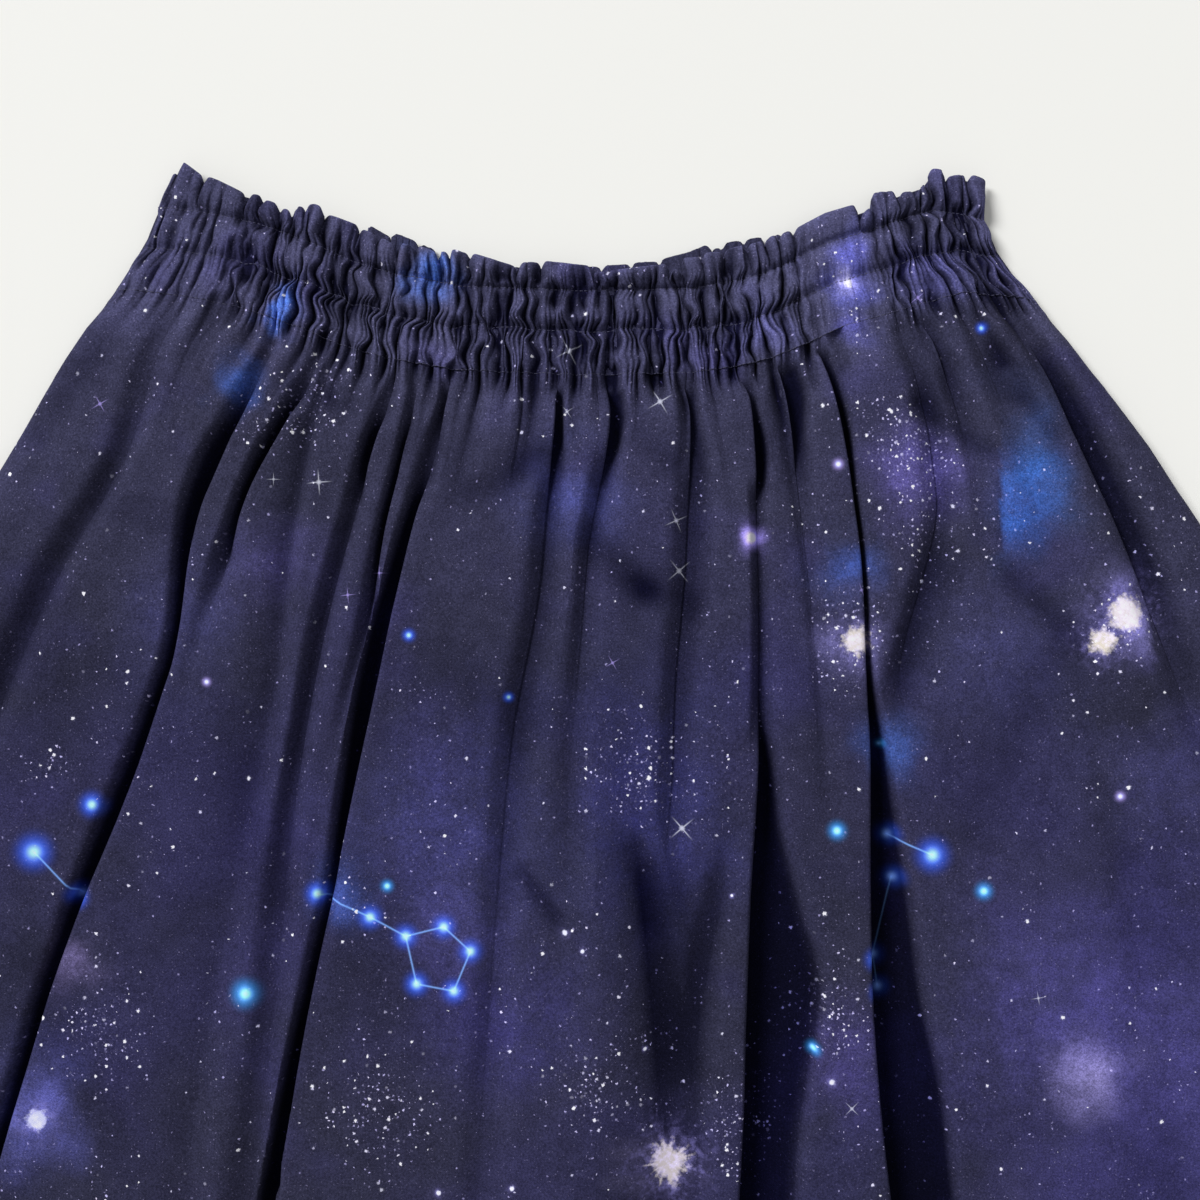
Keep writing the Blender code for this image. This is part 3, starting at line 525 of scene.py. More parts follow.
def casing_points(columns, petals, seed, notch, upper=True):
    """A casing's face: frill, two channels, and the rows of stitching between them.

    The upper casing stands up in crests; the lower one lies on its crests, its valleys standing up.
    """
    rise, near, side, layer, bow = petal_edge(columns, petals)
    frill = np.concatenate([(1.0, 0.985, 0.96, 0.925), np.linspace(0.88, 0.06, 17)])
    channels = np.concatenate([np.linspace(0.0, 0.015, 20)[:-1], np.linspace(0.015, CASING, 22)])
    share = np.concatenate([frill, np.zeros(len(channels))])[:, None] + 0.0 * columns
    below = np.concatenate([np.zeros(len(frill)), channels])[:, None]
    down = below - share * (rise - notch * near)
    count = GATHERS if upper else int(1.8 * GATHERS)
    dip, sway, wobble, crown, pit = gathers(columns, down, seed, share, count)
    # Painted shade in the gathers' valleys and between the frill's petals, less of it on the frill;
    # painted highlight on the crests and along the frill's top edge.
    pit = np.maximum(pit, 0.9 * near * np.minimum(4.0 * share, 1.0))
    pit = pit * (1.0 - (1.0 - FRILL_SHADE) * share)
    tone = PIT_SHADE * pit + CREST_SHADE * (1.0 - pit + (share > 0.97))
    crest = np.where(share > 0.0, smooth_table(share, FRILL_SHARE, FRILL_CREST),
                     smooth_table(down, CASING_DOWN, CASING_CREST))
    across = np.clip(columns + wobble * (1.0 - 0.7 * share), -1.0, 1.0)
    across[:, 0], across[:, -1] = -1.0, 1.0
    ripple = soft_noise(columns / 0.030 + 0.0 * down, down / 0.02, seed + 4)
    ripple = 0.0012 * ripple * np.exp(-((down - STITCH_ROWS[1]) / 0.0045) ** 2) * calm(columns)
    grow = share ** 0.7
    shift = sway + 0.0009 * side * near * (layer > 0) * grow
    x, y = slide(*fan_place(across, down + ripple), shift)
    if upper:
        z = crest + crown - dip
        z += grow * (0.0007 * layer + 0.0007 * bow - 0.0026 * near)
        z += 0.0004 * soft_noise(x / 0.010, y / 0.012, seed + 3)
        for row in STITCH_ROWS[:2]:
            z -= 0.0007 * np.exp(-((down - row) / 0.0006) ** 2) * calm(columns)
        return x, y, np.maximum(z, CASING_FLOOR), across, down, tone
    z = 0.0002 + np.minimum(0.72 * dip, BACK_DEPTH)
    z += grow * (0.0012 + 0.0006 * layer + 0.0007 * bow + 0.0008 * near)
    return x, y, z, across, down, tone


# ---------------------------------------------------------------- meshes
ALL_ROWS = 10 ** 6           # more than any grid's rows
SHARP_DEGREES = 72           # a sharper edge than this isn't shaded smooth


def grid_normals(points):
    """Unit normals of a grid of points, rows by columns by 3, facing up."""
    along = np.gradient(points, axis=1)
    fall = np.gradient(points, axis=0)
    normal = np.cross(fall, along)
    return normal / np.maximum(np.linalg.norm(normal, axis=2, keepdims=True), 1e-12)


def bridge(first, second):
    """Triangles between two rows of vertex numbers that may differ in length."""
    faces, i, j = [], 0, 0
    while i < len(first) - 1 or j < len(second) - 1:
        one = (i + 1) / (len(first) - 1) if i < len(first) - 1 else 9.0
        two = (j + 1) / (len(second) - 1) if j < len(second) - 1 else 9.0
        if one <= two:
            faces.append((first[i], second[j], first[i + 1]))
            i += 1
        else:
            faces.append((first[i], second[j], second[j + 1]))
            j += 1
    return faces


def grid_faces(numbers):
    """Quads of a grid of vertex numbers."""
    upper, lower = numbers[:-1], numbers[1:]
    return np.stack([upper[:, :-1], lower[:, :-1], lower[:, 1:], upper[:, 1:]],
                    axis=-1).reshape(-1, 4)


def clear_of(heights, reach, side):
    """The lowest height, or highest for side 1, within reach grid steps of each point."""
    pick = np.minimum if side < 0 else np.maximum
    for axis in (0, 1):
        padded = np.pad(heights, [(reach, reach) if axis == one else (0, 0) for one in (0, 1)],
                        mode="edge")
        count = heights.shape[axis]
        for shift in range(2 * reach + 1):
            heights = pick(heights, np.take(padded, np.arange(shift, shift + count), axis=axis))
    return heights


def smooth_object(name, vertices, faces):
    """A smooth-shaded object from vertices placed from the middle of the waist."""
    mesh = bpy.data.meshes.new(name)
    mesh.from_pydata((vertices + np.array((OFFSET_X, OFFSET_Y, 0.0))).tolist(), [], faces)
    mesh.shade_smooth()
    thing = bpy.data.objects.new(name, mesh)
    bpy.context.scene.collection.objects.link(thing)
    return thing


def halved(grid, halve_from):
    """Values of a grid row by row, with every second column only from row halve_from on."""
    one = grid.shape[2:]
    return np.concatenate([grid[:halve_from].reshape(-1, *one),
                           grid[halve_from:, ::2].reshape(-1, *one)])


def shell(name, points, skip, side=-1.0, thickness=CLOTH, halve_from=ALL_ROWS):
    """A thin closed shell: the grid of points, and every skip-th of them on its other side.

    From row halve_from on, the grid keeps every second column only.
    """
    rows, columns, _ = points.shape
    keep_row = np.unique(np.append(np.arange(0, rows, skip), rows - 1))
    keep_column = np.unique(np.append(np.arange(0, columns, skip), columns - 1))
    inside = points + side * thickness * grid_normals(points)
    inside[..., 2] = clear_of(inside[..., 2], skip, side)
    inside = inside[np.ix_(keep_row, keep_column)]
    inside[..., 2] = np.maximum(inside[..., 2], 0.0001)
    outside = halved(points, halve_from)
    fine_rows = min(halve_from, rows)
    fine = np.arange(fine_rows * columns).reshape(fine_rows, columns)
    edge_left, edge_right, bottom = fine[:, 0], fine[:, -1], fine[-1]
    faces = [tuple(face) for face in grid_faces(fine)]
    if fine_rows < rows:
        coarse = np.arange(fine.size, len(outside)).reshape(rows - fine_rows, -1)
        faces += [tuple(face) for face in grid_faces(coarse)]
        for cell in range(coarse.shape[1] - 1):
            first, middle, last = fine[-1][2 * cell:2 * cell + 3]
            near, far = coarse[0][cell:cell + 2]
            faces += [(first, near, middle), (middle, near, far), (middle, far, last)]
        edge_left = np.append(edge_left, coarse[:, 0])
        edge_right = np.append(edge_right, coarse[:, -1])
        bottom = coarse[-1]
    inner = len(outside) + np.arange(inside[..., 0].size).reshape(inside.shape[:2])
    faces += [tuple(face[::-1]) for face in grid_faces(inner)]
    faces += bridge(fine[0], inner[0])
    faces += [face[::-1] for face in bridge(bottom, inner[-1])]
    faces += [face[::-1] for face in bridge(edge_left, inner[:, 0])]
    faces += bridge(edge_right, inner[:, -1])
    if side > 0:
        faces = [face[::-1] for face in faces]
    cloth = smooth_object(name, np.vstack([outside, inside.reshape(-1, 3)]), faces)
    cloth.data.set_sharp_from_angle(angle=math.radians(SHARP_DEGREES))
    return cloth


def corner_points(mesh):
    """Number of the point at each corner of the faces."""
    corners = np.zeros(len(mesh.loops), dtype=int)
    mesh.loops.foreach_get("vertex_index", corners)
    return corners


def write_layer(layers, name, kind, domain, field, values):
    """A new layer of values on a mesh's points or corners."""
    layer = layers.new(name, kind, domain)
    layer.data.foreach_set(field, values.ravel())


def cloth_map(cloth, points, rows, halve_from=ALL_ROWS):
    """Writes the cloth's own coordinates, in metres along the thread, as a map."""
    step = np.linalg.norm(np.diff(points, axis=1), axis=2)
    run = np.concatenate([np.zeros((len(points), 1)), np.cumsum(step, axis=1)], axis=1)
    fall = np.clip(rows / SKIRT_LENGTH, 0.0, 1.0)
    along = run / run[:, -1:] * (CUT_TOP + (CUT_HEM - CUT_TOP) * fall)
    thread = np.stack([along, np.broadcast_to(-rows, along.shape)], axis=-1)
    outer = halved(thread, halve_from)
    mesh = cloth.data
    places = np.zeros((len(mesh.vertices), 2))
    places[:len(outer)] = outer
    layer = mesh.uv_layers.new(name="thread")
    layer.uv.foreach_set("vector", places[corner_points(mesh)].ravel().astype(np.float32))


def write_painted_shade(cloth, hollow, halve_from=ALL_ROWS):
    """Writes the painted shade at each point: above 0 in the hollows, below 0 for the painted
    highlight on the crests.
    """
    outer = halved(hollow, halve_from)
    values = np.zeros(len(cloth.data.vertices), dtype=np.float32)
    values[:len(outer)] = outer
    write_layer(cloth.data.attributes, "hollow", "FLOAT", "POINT", "value", values)


# ---------------------------------------------------------------- stitching
STITCH_PITCH = 0.0028        # along the flat cloth
STITCH_LENGTH = 0.0021
THREAD_RADIUS = 0.00016
THREAD_SIDES = 5


def stitch_row(points, normals, cut):
    """Threads along one row of the cloth: vertices and faces of a tube for each stitch."""
    step = np.linalg.norm(np.diff(points, axis=0), axis=1)
    run = np.concatenate([[0.0], np.cumsum(step)])
    scale = run[-1] / cut
    vertices, faces = [], []
    turns = 2.0 * math.pi * np.arange(THREAD_SIDES) / THREAD_SIDES
    for start in np.arange(0.4 * STITCH_PITCH, cut - STITCH_PITCH, STITCH_PITCH):
        along = (start + STITCH_LENGTH * np.array((0.0, 0.33, 0.67, 1.0))) * scale
        middle = np.stack([np.interp(along, run, points[:, axis]) for axis in range(3)], axis=1)
        up = np.stack([np.interp(along, run, normals[:, axis]) for axis in range(3)], axis=1)
        up /= np.maximum(np.linalg.norm(up, axis=1, keepdims=True), 1e-9)
        middle += up * THREAD_RADIUS * np.array((-0.6, 0.7, 0.7, -0.6))[:, None]
        ahead = np.gradient(middle, axis=0)
        ahead /= np.maximum(np.linalg.norm(ahead, axis=1, keepdims=True), 1e-9)
        side = np.cross(ahead, up)
        base = len(vertices)
        for ring in range(len(middle)):
            for turn in turns:
                vertices.append(middle[ring] + THREAD_RADIUS * (math.cos(turn) * side[ring]
                                                                + math.sin(turn) * up[ring]))
        for ring in range(len(middle) - 1):
            for number in range(THREAD_SIDES):
                after = (number + 1) % THREAD_SIDES
                low, high = base + ring * THREAD_SIDES, base + (ring + 1) * THREAD_SIDES
                faces.append((low + number, low + after, high + after, high + number))
        faces.append(tuple(base + THREAD_SIDES - 1 - number for number in range(THREAD_SIDES)))
        last = base + (len(middle) - 1) * THREAD_SIDES
        faces.append(tuple(last + number for number in range(THREAD_SIDES)))
    return vertices, faces


def stitching(name, rows):
    """One piece of sewing thread from rows of cloth: points, normals and cut width of each."""
    vertices, faces = [], []
    for points, normals, cut in rows:
        more, sides = stitch_row(points, normals, cut)
        faces += [tuple(number + len(vertices) for number in face) for face in sides]
        vertices += more
    return smooth_object(name, np.array(vertices), faces)


def row_of(grid, number, side=1.0):
    """One row of a grid of points with its normals, which face the outside."""
    return grid[number], side * grid_normals(grid)[number]


# ---------------------------------------------------------------- the print's placed motifs
# Soft clouds: x, y, radius, and thousandths of red, green and blue that they add.
CLOUDS = (
    (98.5, 3, 8, (22, 24, 130)), (99.5, -9, 7, (22, 25, 140)), (-54.8, -2.6, 7.2, (20, 80, 330)),
    (-108.5, -13, 4.2, (15, 70, 290)), (-124.7, -43, 6.6, (12, 55, 250)),
    (165.5, -76, 14.5, (4, 50, 210)), (99.2, -6, 3, (200, 190, 300)), (101, -24, 6, (10, 10, 70)),
    (160.5, -96, 8.5, (3, 35, 170)), (201, -132.5, 10, (60, 50, 200)),
    (99.2, -111, 8, (20, 55, 260)), (-1.9, -87, 13, (20, 25, 110)),
    (63.3, -101, 3.6, (300, 240, 750)), (124, -76, 15, (60, 48, 190)),
    (189.4, -299.7, 9.5, (180, 160, 320)), (-186.9, -259, 8, (100, 80, 190)),
    (22.2, -198, 33, (6, 7, 60)), (-48.1, -209.1, 30, (14, 14, 70)), (-24, -280, 25, (10, 8, 55)),
    (185, -279.4, 46, (30, 25, 120)), (98.5, -294.2, 15, (24, 18, 90)),
    (-144.3, -131.4, 22, (12, 12, 50)), (155.4, -142.5, 24, (16, 16, 60)),
    (-198.5, -313, 13, (75, 80, 320)), (207.2, -131.2, 13, (90, 85, 200)),
    (101.7, -138.8, 11, (70, 65, 160)), (31, -333, 8, (100, 90, 150)),
    (-87, -235, 10, (20, 45, 200)), (114, -178, 8.5, (15, 50, 210)), (133, -2, 12, (20, 20, 75)),
    (-113, -20.5, 4.2, (10, 50, 220)), (217.5, -188, 23, (16, 15, 60)),
    (-48, -242, 17, (18, 16, 70)), (-202, -290, 18, (12, 12, 50)), (-111, -111, 13, (18, 14, 60)),
    (68, -24, 10, (20, 20, 70)),
)
# Pleats' edges that end the clouds on one side of them: x, and lowest and highest y.
TUCKS = ((155.2, -108, -56), (210.5, -170, -105))
# Places where the dust of small stars is thick: x, y, radius.
STAR_FIELDS = (
    (124, -76, 14), (127.7, -98, 12), (118, -60, 11), (98, -133, 10), (96, -152, 7),
    (-111, -56, 10), (-175.8, -283, 15), (4, -301.5, 13), (22.2, -286.8, 7), (101.7, -138.8, 11),
    (22.2, -186.9, 16), (198, -134, 13), (-196, -185, 7), (95, -6, 4.5), (-96, -49, 12),
    (93.5, -276, 16), (58, -317, 15), (-70, -310, 15),
)
# Motifs by kind and colour: x, y, size, turn in degrees. The kinds are 0 glowing star,
# 1 four-armed glint, 2 spiky burst and 3 round burst.
BLUE, CYAN, WHITE, LILAC, CREAM = ((0.02, 0.12, 1.0), (0.02, 0.34, 0.95), (0.8, 0.82, 0.95),
                                   (0.45, 0.36, 0.9), (0.78, 0.71, 0.53))
MOTIFS = (
    (0, BLUE, (
        (-200.5, -216.5, 3, 0), (-179.1, -199.1, 2.1, 0), (129.5, -217.6, 2.8, 0),
        (-62.9, -136.9, 1.1, 0), (-26.3, -159.8, 0.9, 0), (149, -23, 1, 0))),
    (0, CYAN, (
        (-122.8, -268.5, 2.4, 0), (94.4, -208.7, 1.6, 0), (148.4, -230.9, 1.5, 0),
        (109.2, -256, 1, 0), (86.2, -289.7, 1.2, 0), (-70.8, -229, 1.1, 0), (111, -177.2, 0.9, 0))),
    (0, LILAC, (
        (63.3, -101, 1.8, 0), (95, -74, 1, 0), (-137, -154, 0.8, 0), (198.8, -196.2, 0.9, 0))),
    (1, WHITE, (
        (-4.1, -31.5, 6.2, 28), (-4.8, -54.4, 3.4, 35), (29.6, -50.7, 6, 30),
        (35.5, -94.7, 5.4, 24), (36.6, -113.2, 6, 40), (-95.8, -80.7, 5.6, 4),
        (-112.5, -79.6, 3, 0), (37.7, -208.3, 6.4, 42), (99.9, -310.8, 4, 45),
        (168.3, -270.1, 3.2, 10))),
    (1, LILAC, (
        (-176.5, -51.8, 4.4, 30), (103.6, -120.3, 3.4, 20), (125, -12, 4.2, 38),
        (-85.1, -122.1, 3.6, 5), (-74, -114, 3.4, 0), (12, -147, 3.6, 30))),
    (2, (0.58, 0.52, 0.47), ((32.5, -332.5, 10, 25),)),
    (3, CREAM, (
        (101.7, -138.8, 7.6, 15), (200.5, -129, 9.8, 50), (192.6, -138.9, 7, 10))),
    (3, (0.62, 0.64, 0.8), ((-199.1, -314.5, 5.5, 70),)),
    (3, (0.33, 0.32, 0.5), ((99.4, -6.5, 2.6, 20),)),
    (3, WHITE, (
        (56, -233, 0.8, 0), (-5.5, -246.5, 1.5, 0), (1, -253, 1.3, 0), (24, -290, 1, 0),
        (92.5, -301, 1.7, 0), (-52, -342, 1.4, 0), (-25, -340, 1.4, 0))),
)
# Thin lines that join glowing stars: chains of x, y. Each bend carries a small star.
CHAINS = (
    ((-96.2, -231.6), (-77, -240.4), (-64, -247.5), (-50, -244), (-40.2, -253), (-46.3, -267.6),
     (-60, -265), (-64, -247.5)),
    ((-200.5, -216.5), (-185, -233)), ((114, -211), (129.5, -217.6)),
    ((116, -227), (109.2, -256), (111, -268)),
)
HIDDEN_FROM = -0.352         # below the photo's edge more motifs of the same kinds follow
LEAVE_OUT = 9.0              # local place of faces that carry no motif
MOTIF_REACH = (3.6, 1.15, 2.6, 2.6)  # how many of its sizes each kind of motif reaches
LINE_WIDTH = 0.00032


def metres(*values):
    """Metres from millimetres, or a colour from its thousandths."""
    return tuple(MILLIMETRE * value for value in values)


def placed_print():
    """The placed motifs and clouds, with more of the same kinds below the photo's edge."""
    rng = np.random.default_rng(77)
    clouds = [(*metres(*place), metres(*colour)) for *place, colour in CLOUDS]
    fields = [metres(*field) for field in STAR_FIELDS]
    motifs = [(*metres(x, y, size), turn, kind, colour)
              for kind, colour, places in MOTIFS for x, y, size, turn in places]
    chains = [[metres(*place) for place in chain] for chain in CHAINS]

    def somewhere():
        y = rng.uniform(-0.625, HIDDEN_FROM)
        return rng.uniform(-0.30, 0.30), y

    for _ in range(26):
        x, y = somewhere()
        kind = rng.choice(4, p=(0.45, 0.25, 0.15, 0.15))
        colour = ((0.030, 0.022, 0.095), (0.020, 0.080, 0.300), (0.180, 0.150, 0.320),
                  (0.10, 0.09, 0.30))[kind]
        clouds.append((x, y, rng.uniform(0.010, 0.045) * (1.0, 0.5, 0.3, 0.3)[kind], colour))
    for _ in range(12):
        fields.append((*somewhere(), rng.uniform(0.010, 0.020)))
    for _ in range(46):
        kind = int(rng.choice(4, p=(0.50, 0.38, 0.06, 0.06)))
        size = rng.uniform(*((0.0009, 0.0024), (0.003, 0.007), (0.004, 0.009), (0.004, 0.009))[kind])
        colour = ((BLUE, CYAN, LILAC), (WHITE, LILAC), (CREAM, LILAC), (CREAM, WHITE))[kind]
        motifs.append((*somewhere(), size, rng.uniform(0, 90), kind,
                       colour[rng.integers(len(colour))]))
    for _ in range(4):
        place = np.array(somewhere())
        chain = [tuple(place)]
        for _ in range(rng.integers(3, 6)):
            angle = rng.uniform(0.0, 2.0 * math.pi)
            place = place + rng.uniform(0.010, 0.026) * np.array((math.cos(angle),
                                                                  math.sin(angle)))
            chain.append(tuple(place))
        chains.append(chain)
    for chain in chains:
        motifs += [(x, y, 0.0020, 0, 0, BLUE) for x, y in dict.fromkeys(chain)]
    return clouds, fields, motifs, chains


def write_print(cloth, placed):
    """Writes the placed print on a piece: clouds at its points, motifs and lines at its corners."""
    clouds, fields, motifs, chains = placed
    mesh = cloth.data
    points = np.zeros((len(mesh.vertices), 3))
    mesh.vertices.foreach_get("co", points.ravel())
    x, y = points[:, 0] - OFFSET_X, points[:, 1] - OFFSET_Y
    colour = np.zeros((len(points), 4), dtype=np.float32)
    for cloud_x, cloud_y, radius, shade in clouds:
        ragged = 1.0 + 0.45 * soft_noise(x / radius + 3.1, y / radius + 9.7, 61)
        away = np.hypot(x - cloud_x, y - cloud_y) / (radius * ragged)
        near = np.exp(-away ** 2)
        for left, low_end, high_end in MILLIMETRE * np.array(TUCKS):
            hidden = (y > low_end) & (y < high_end) & ((x < left) != (cloud_x < left))
            near = near * np.where(hidden, 0.15, 1.0)
        colour[:, :3] += near[:, None] * np.array(shade)
    for field_x, field_y, radius in fields:
        away = np.hypot(x - field_x, y - field_y) / radius
        colour[:, 3] += np.exp(-away ** 2)
    write_layer(mesh.color_attributes, "clouds", "FLOAT_COLOR", "POINT", "color",
                np.clip(colour, 0.0, 1.0))

    corner = corner_points(mesh)
    count = np.zeros(len(mesh.polygons), dtype=int)
    mesh.polygons.foreach_get("loop_total", count)
    face = np.repeat(np.arange(len(count)), count)
    middle = np.zeros((len(count), 2))
    np.add.at(middle, face, np.stack([x[corner], y[corner]], axis=1))
    middle /= count[:, None]

    nearest, best = np.zeros(len(count), dtype=int), np.full(len(count), 1e9)
    reach = np.array([MOTIF_REACH[motif[4]] for motif in motifs])
    size = np.array([motif[2] for motif in motifs])
    for number, motif in enumerate(motifs):
        away = np.hypot(middle[:, 0] - motif[0], middle[:, 1] - motif[1])
        away = away / (reach[number] * size[number] + 0.003)
        nearest = np.where(away < best, number, nearest)
        best = np.minimum(best, away)
    own = nearest[face]
    centre = np.array([motif[:2] for motif in motifs])[own]
    turn = np.radians(np.array([motif[3] for motif in motifs]))[own]
    dx, dy = x[corner] - centre[:, 0], y[corner] - centre[:, 1]
    local = np.zeros((len(corner), 3), dtype=np.float32)
    local[:, 0] = (dx * np.cos(turn) + dy * np.sin(turn)) / size[own]
    local[:, 1] = (dy * np.cos(turn) - dx * np.sin(turn)) / size[own]
    local[:, 2] = np.array([motif[4] for motif in motifs])[own]
    local[best[face] > 1.0] = (LEAVE_OUT, LEAVE_OUT, 0.0)
    write_layer(mesh.attributes, "motif", "FLOAT_VECTOR", "CORNER", "vector", local)
    tint = np.ones((len(corner), 4), dtype=np.float32)
    tint[:, :3] = np.array([motif[5] for motif in motifs])[own]
    write_layer(mesh.color_attributes, "motif_colour", "FLOAT_COLOR", "CORNER", "color", tint)

    local = np.full((len(corner), 3), LEAVE_OUT, dtype=np.float32)
    best = np.full(len(count), 0.005)
    for chain in chains:
        for (x_one, y_one), (x_two, y_two) in zip(chain[:-1], chain[1:]):
            span = math.hypot(x_two - x_one, y_two - y_one)
            cosine, sine = (x_two - x_one) / span, (y_two - y_one) / span
            along = (middle[:, 0] - x_one) * cosine + (middle[:, 1] - y_one) * sine
            across = (middle[:, 1] - y_one) * cosine - (middle[:, 0] - x_one) * sine
            away = np.hypot(across, np.maximum(np.maximum(-along, along - span), 0.0))
            nearer = away < best
            best = np.where(nearer, away, best)
            own = nearer[face]
            dx, dy = x[corner][own] - x_one, y[corner][own] - y_one
            local[own, 0] = (dx * cosine + dy * sine) / span
            local[own, 1] = (dy * cosine - dx * sine) / LINE_WIDTH
            local[own, 2] = 0.0
    write_layer(mesh.attributes, "line", "FLOAT_VECTOR", "CORNER", "vector", local)


# ---------------------------------------------------------------- materials
class Number:
    """A number in a shader, which takes the usual signs of arithmetic."""

    def __init__(self, graph, socket):
        self.graph, self.socket = graph, socket

    def __add__(self, other):
        return self.graph.math("ADD", self, other)

    def __sub__(self, other):
        return self.graph.math("SUBTRACT", self, other)

    def __rsub__(self, other):
        return self.graph.math("SUBTRACT", other, self)

    def __mul__(self, other):
        return self.graph.math("MULTIPLY", self, other)

    def __truediv__(self, other):
        return self.graph.math("DIVIDE", self, other)

    def __pow__(self, other):
        return self.graph.math("POWER", self, other)

    def __abs__(self):
        return self.graph.math("ABSOLUTE", self)


class Graph:
    """Short names for making and joining shader nodes."""

    def __init__(self, name, colour):
        self.material = bpy.data.materials.new(name)
        self.material.use_nodes = True
        self.material.diffuse_color = (*colour, 1.0)
        self.nodes = self.material.node_tree.nodes
        self.shader = self.nodes["Principled BSDF"]

    def join(self, value, socket):
        """Links a socket or number, or sets a constant or colour."""
        if isinstance(value, Number):
            value = value.socket
        if isinstance(value, bpy.types.NodeSocket):
            self.material.node_tree.links.new(value, socket)
        elif isinstance(value, tuple) and len(value) == 3 and socket.type == "RGBA":
            socket.default_value = (*value, 1.0)
        else:
            socket.default_value = value

    def add(self, kind, settings=None, **inputs):
        """A node of a kind, with its settings and inputs by name."""
        node = self.nodes.new(kind)
        for key, value in (settings or {}).items():
            setattr(node, key, value)
        for key, value in inputs.items():
            self.join(value, node.inputs[key.replace("_", " ")])
        return node

    def attribute(self, name):
        """The outputs of one of the cloth's attributes."""
        return self.add("ShaderNodeAttribute", {"attribute_name": name}).outputs

    def split(self, value, kind="ShaderNodeSeparateXYZ"):
        """The three numbers of a vector or colour."""
        node = self.add(kind)
        self.join(value, node.inputs[0])
        return [Number(self, socket) for socket in node.outputs[:3]]

    def math(self, operation, *values):
        """A number made from one or two others."""
        node = self.add("ShaderNodeMath", {"operation": operation})
        for socket, value in zip(node.inputs, values):
            self.join(value, socket)
        return Number(self, node.outputs[0])

    def exp(self, value):
        """The exponential of a number."""
        return self.math("EXPONENT", value)

    def vector(self, operation, *values, **inputs):
        """A vector made from one or two others."""
        node = self.add("ShaderNodeVectorMath", {"operation": operation}, **inputs)
        for socket, value in zip(node.inputs, values):
            self.join(value, socket)
        return node.outputs[0]

    def ramp(self, value, low, high, start=0.0, end=1.0):
        """A number that runs smoothly from start to end while value runs from low to high."""
        node = self.add("ShaderNodeMapRange", {"interpolation_type": "SMOOTHSTEP"})
        for socket, number in zip(node.inputs, (value, low, high, start, end)):
            self.join(number, socket)
        return Number(self, node.outputs[0])

    def mix(self, factor, first, second, blend="MIX"):
        """A colour between two others, or the second one added to the first."""
        node = self.add("ShaderNodeMix", {"data_type": "RGBA", "blend_type": blend,
                                          "clamp_factor": False})
        for number, value in ((0, factor), (6, first), (7, second)):
            self.join(value, node.inputs[number])
        return node.outputs[2]

    def noise(self, place, scale, detail=2.0, rough=0.5):
        """Smooth noise, mostly from 0.3 to 0.7."""
        node = self.add("ShaderNodeTexNoise", None, Vector=place, Scale=scale, Detail=detail,
                        Roughness=rough)
        return Number(self, node.outputs["Fac"])


# Dust and stars of each size: cells in a metre, radius in cells, reach of the halo in radii,
# share of the cells lit everywhere and more of them in a crowd, strength, colour.
STAR_SIZES = (
    (900.0, 0.15, 1.5, 0.42, 0.40, 0.19, (0.60, 0.55, 0.95)),
    (540.0, 0.17, 1.5, -0.03, 0.52, 1.30, (0.62, 0.58, 1.00)),
    (420.0, 0.120, 1.8, 0.07, 0.40, 0.60, (0.60, 0.55, 1.00)),
    (250.0, 0.125, 1.6, -0.03, 0.58, 2.60, (0.80, 0.78, 1.00)),
    (190.0, 0.080, 1.8, 0.022, 0.34, 1.90, (0.74, 0.72, 1.00)),
    (80.0, 0.044, 1.8, 0.04, 0.25, 2.60, (0.80, 0.80, 0.98)),
)
YARNS = 0.00078              # two yarns of the weave, side by side


def haze(graph, place, flat, cloud_colour):
    """The navy ground in broad blotches, with the placed clouds, a fine mottle and painted light
    near the waist.
    """
    ramp, mix, noise = graph.ramp, graph.mix, graph.noise
    height = graph.split(place)[1]
    broad = ramp(noise(flat, 7.0, 3.0, 0.55), 0.42, 0.68)
    lower = ramp(height, OFFSET_Y - 0.04, OFFSET_Y - 0.24, 0.30, 1.0)
    colour = mix(broad * lower, (0.0275, 0.0275, 0.0560), (0.0330, 0.0310, 0.0930))
    blotch = ramp(noise(flat, 21.0, 2.5, 0.5), 0.52, 0.72)
    colour = mix(blotch * 0.55, colour, (0.0360, 0.0330, 0.1080))
    gray = ramp(noise(flat, 11.0, 2.0, 0.5), 0.50, 0.70)
    colour = mix(gray * 0.62, colour, (0.0190, 0.0193, 0.0370))
    wisps = (ramp(noise(flat, 95.0, 4.0, 0.55), 0.34, 0.68, 0.70, 1.30)
             * ramp(noise(flat, 420.0, 3.0, 0.7), 0.30, 0.70, 0.84, 1.16))
    colour = mix(wisps, colour, cloud_colour, "ADD")
    mottle = ramp(noise(flat, 150.0, 5.0, 0.65), 0.30, 0.70, 0.88, 1.14)
    grain = ramp(noise(flat, 1500.0, 2.0, 0.7), 0.28, 0.72, 0.64, 1.38)
    # Painted light: the cloth is made up to 1.34 times brighter towards the waist.
    upper = ramp(height, OFFSET_Y - 0.17, OFFSET_Y - 0.06, 1.0, 1.34)
    return graph.vector("SCALE", colour, Scale=mottle * grain * upper)


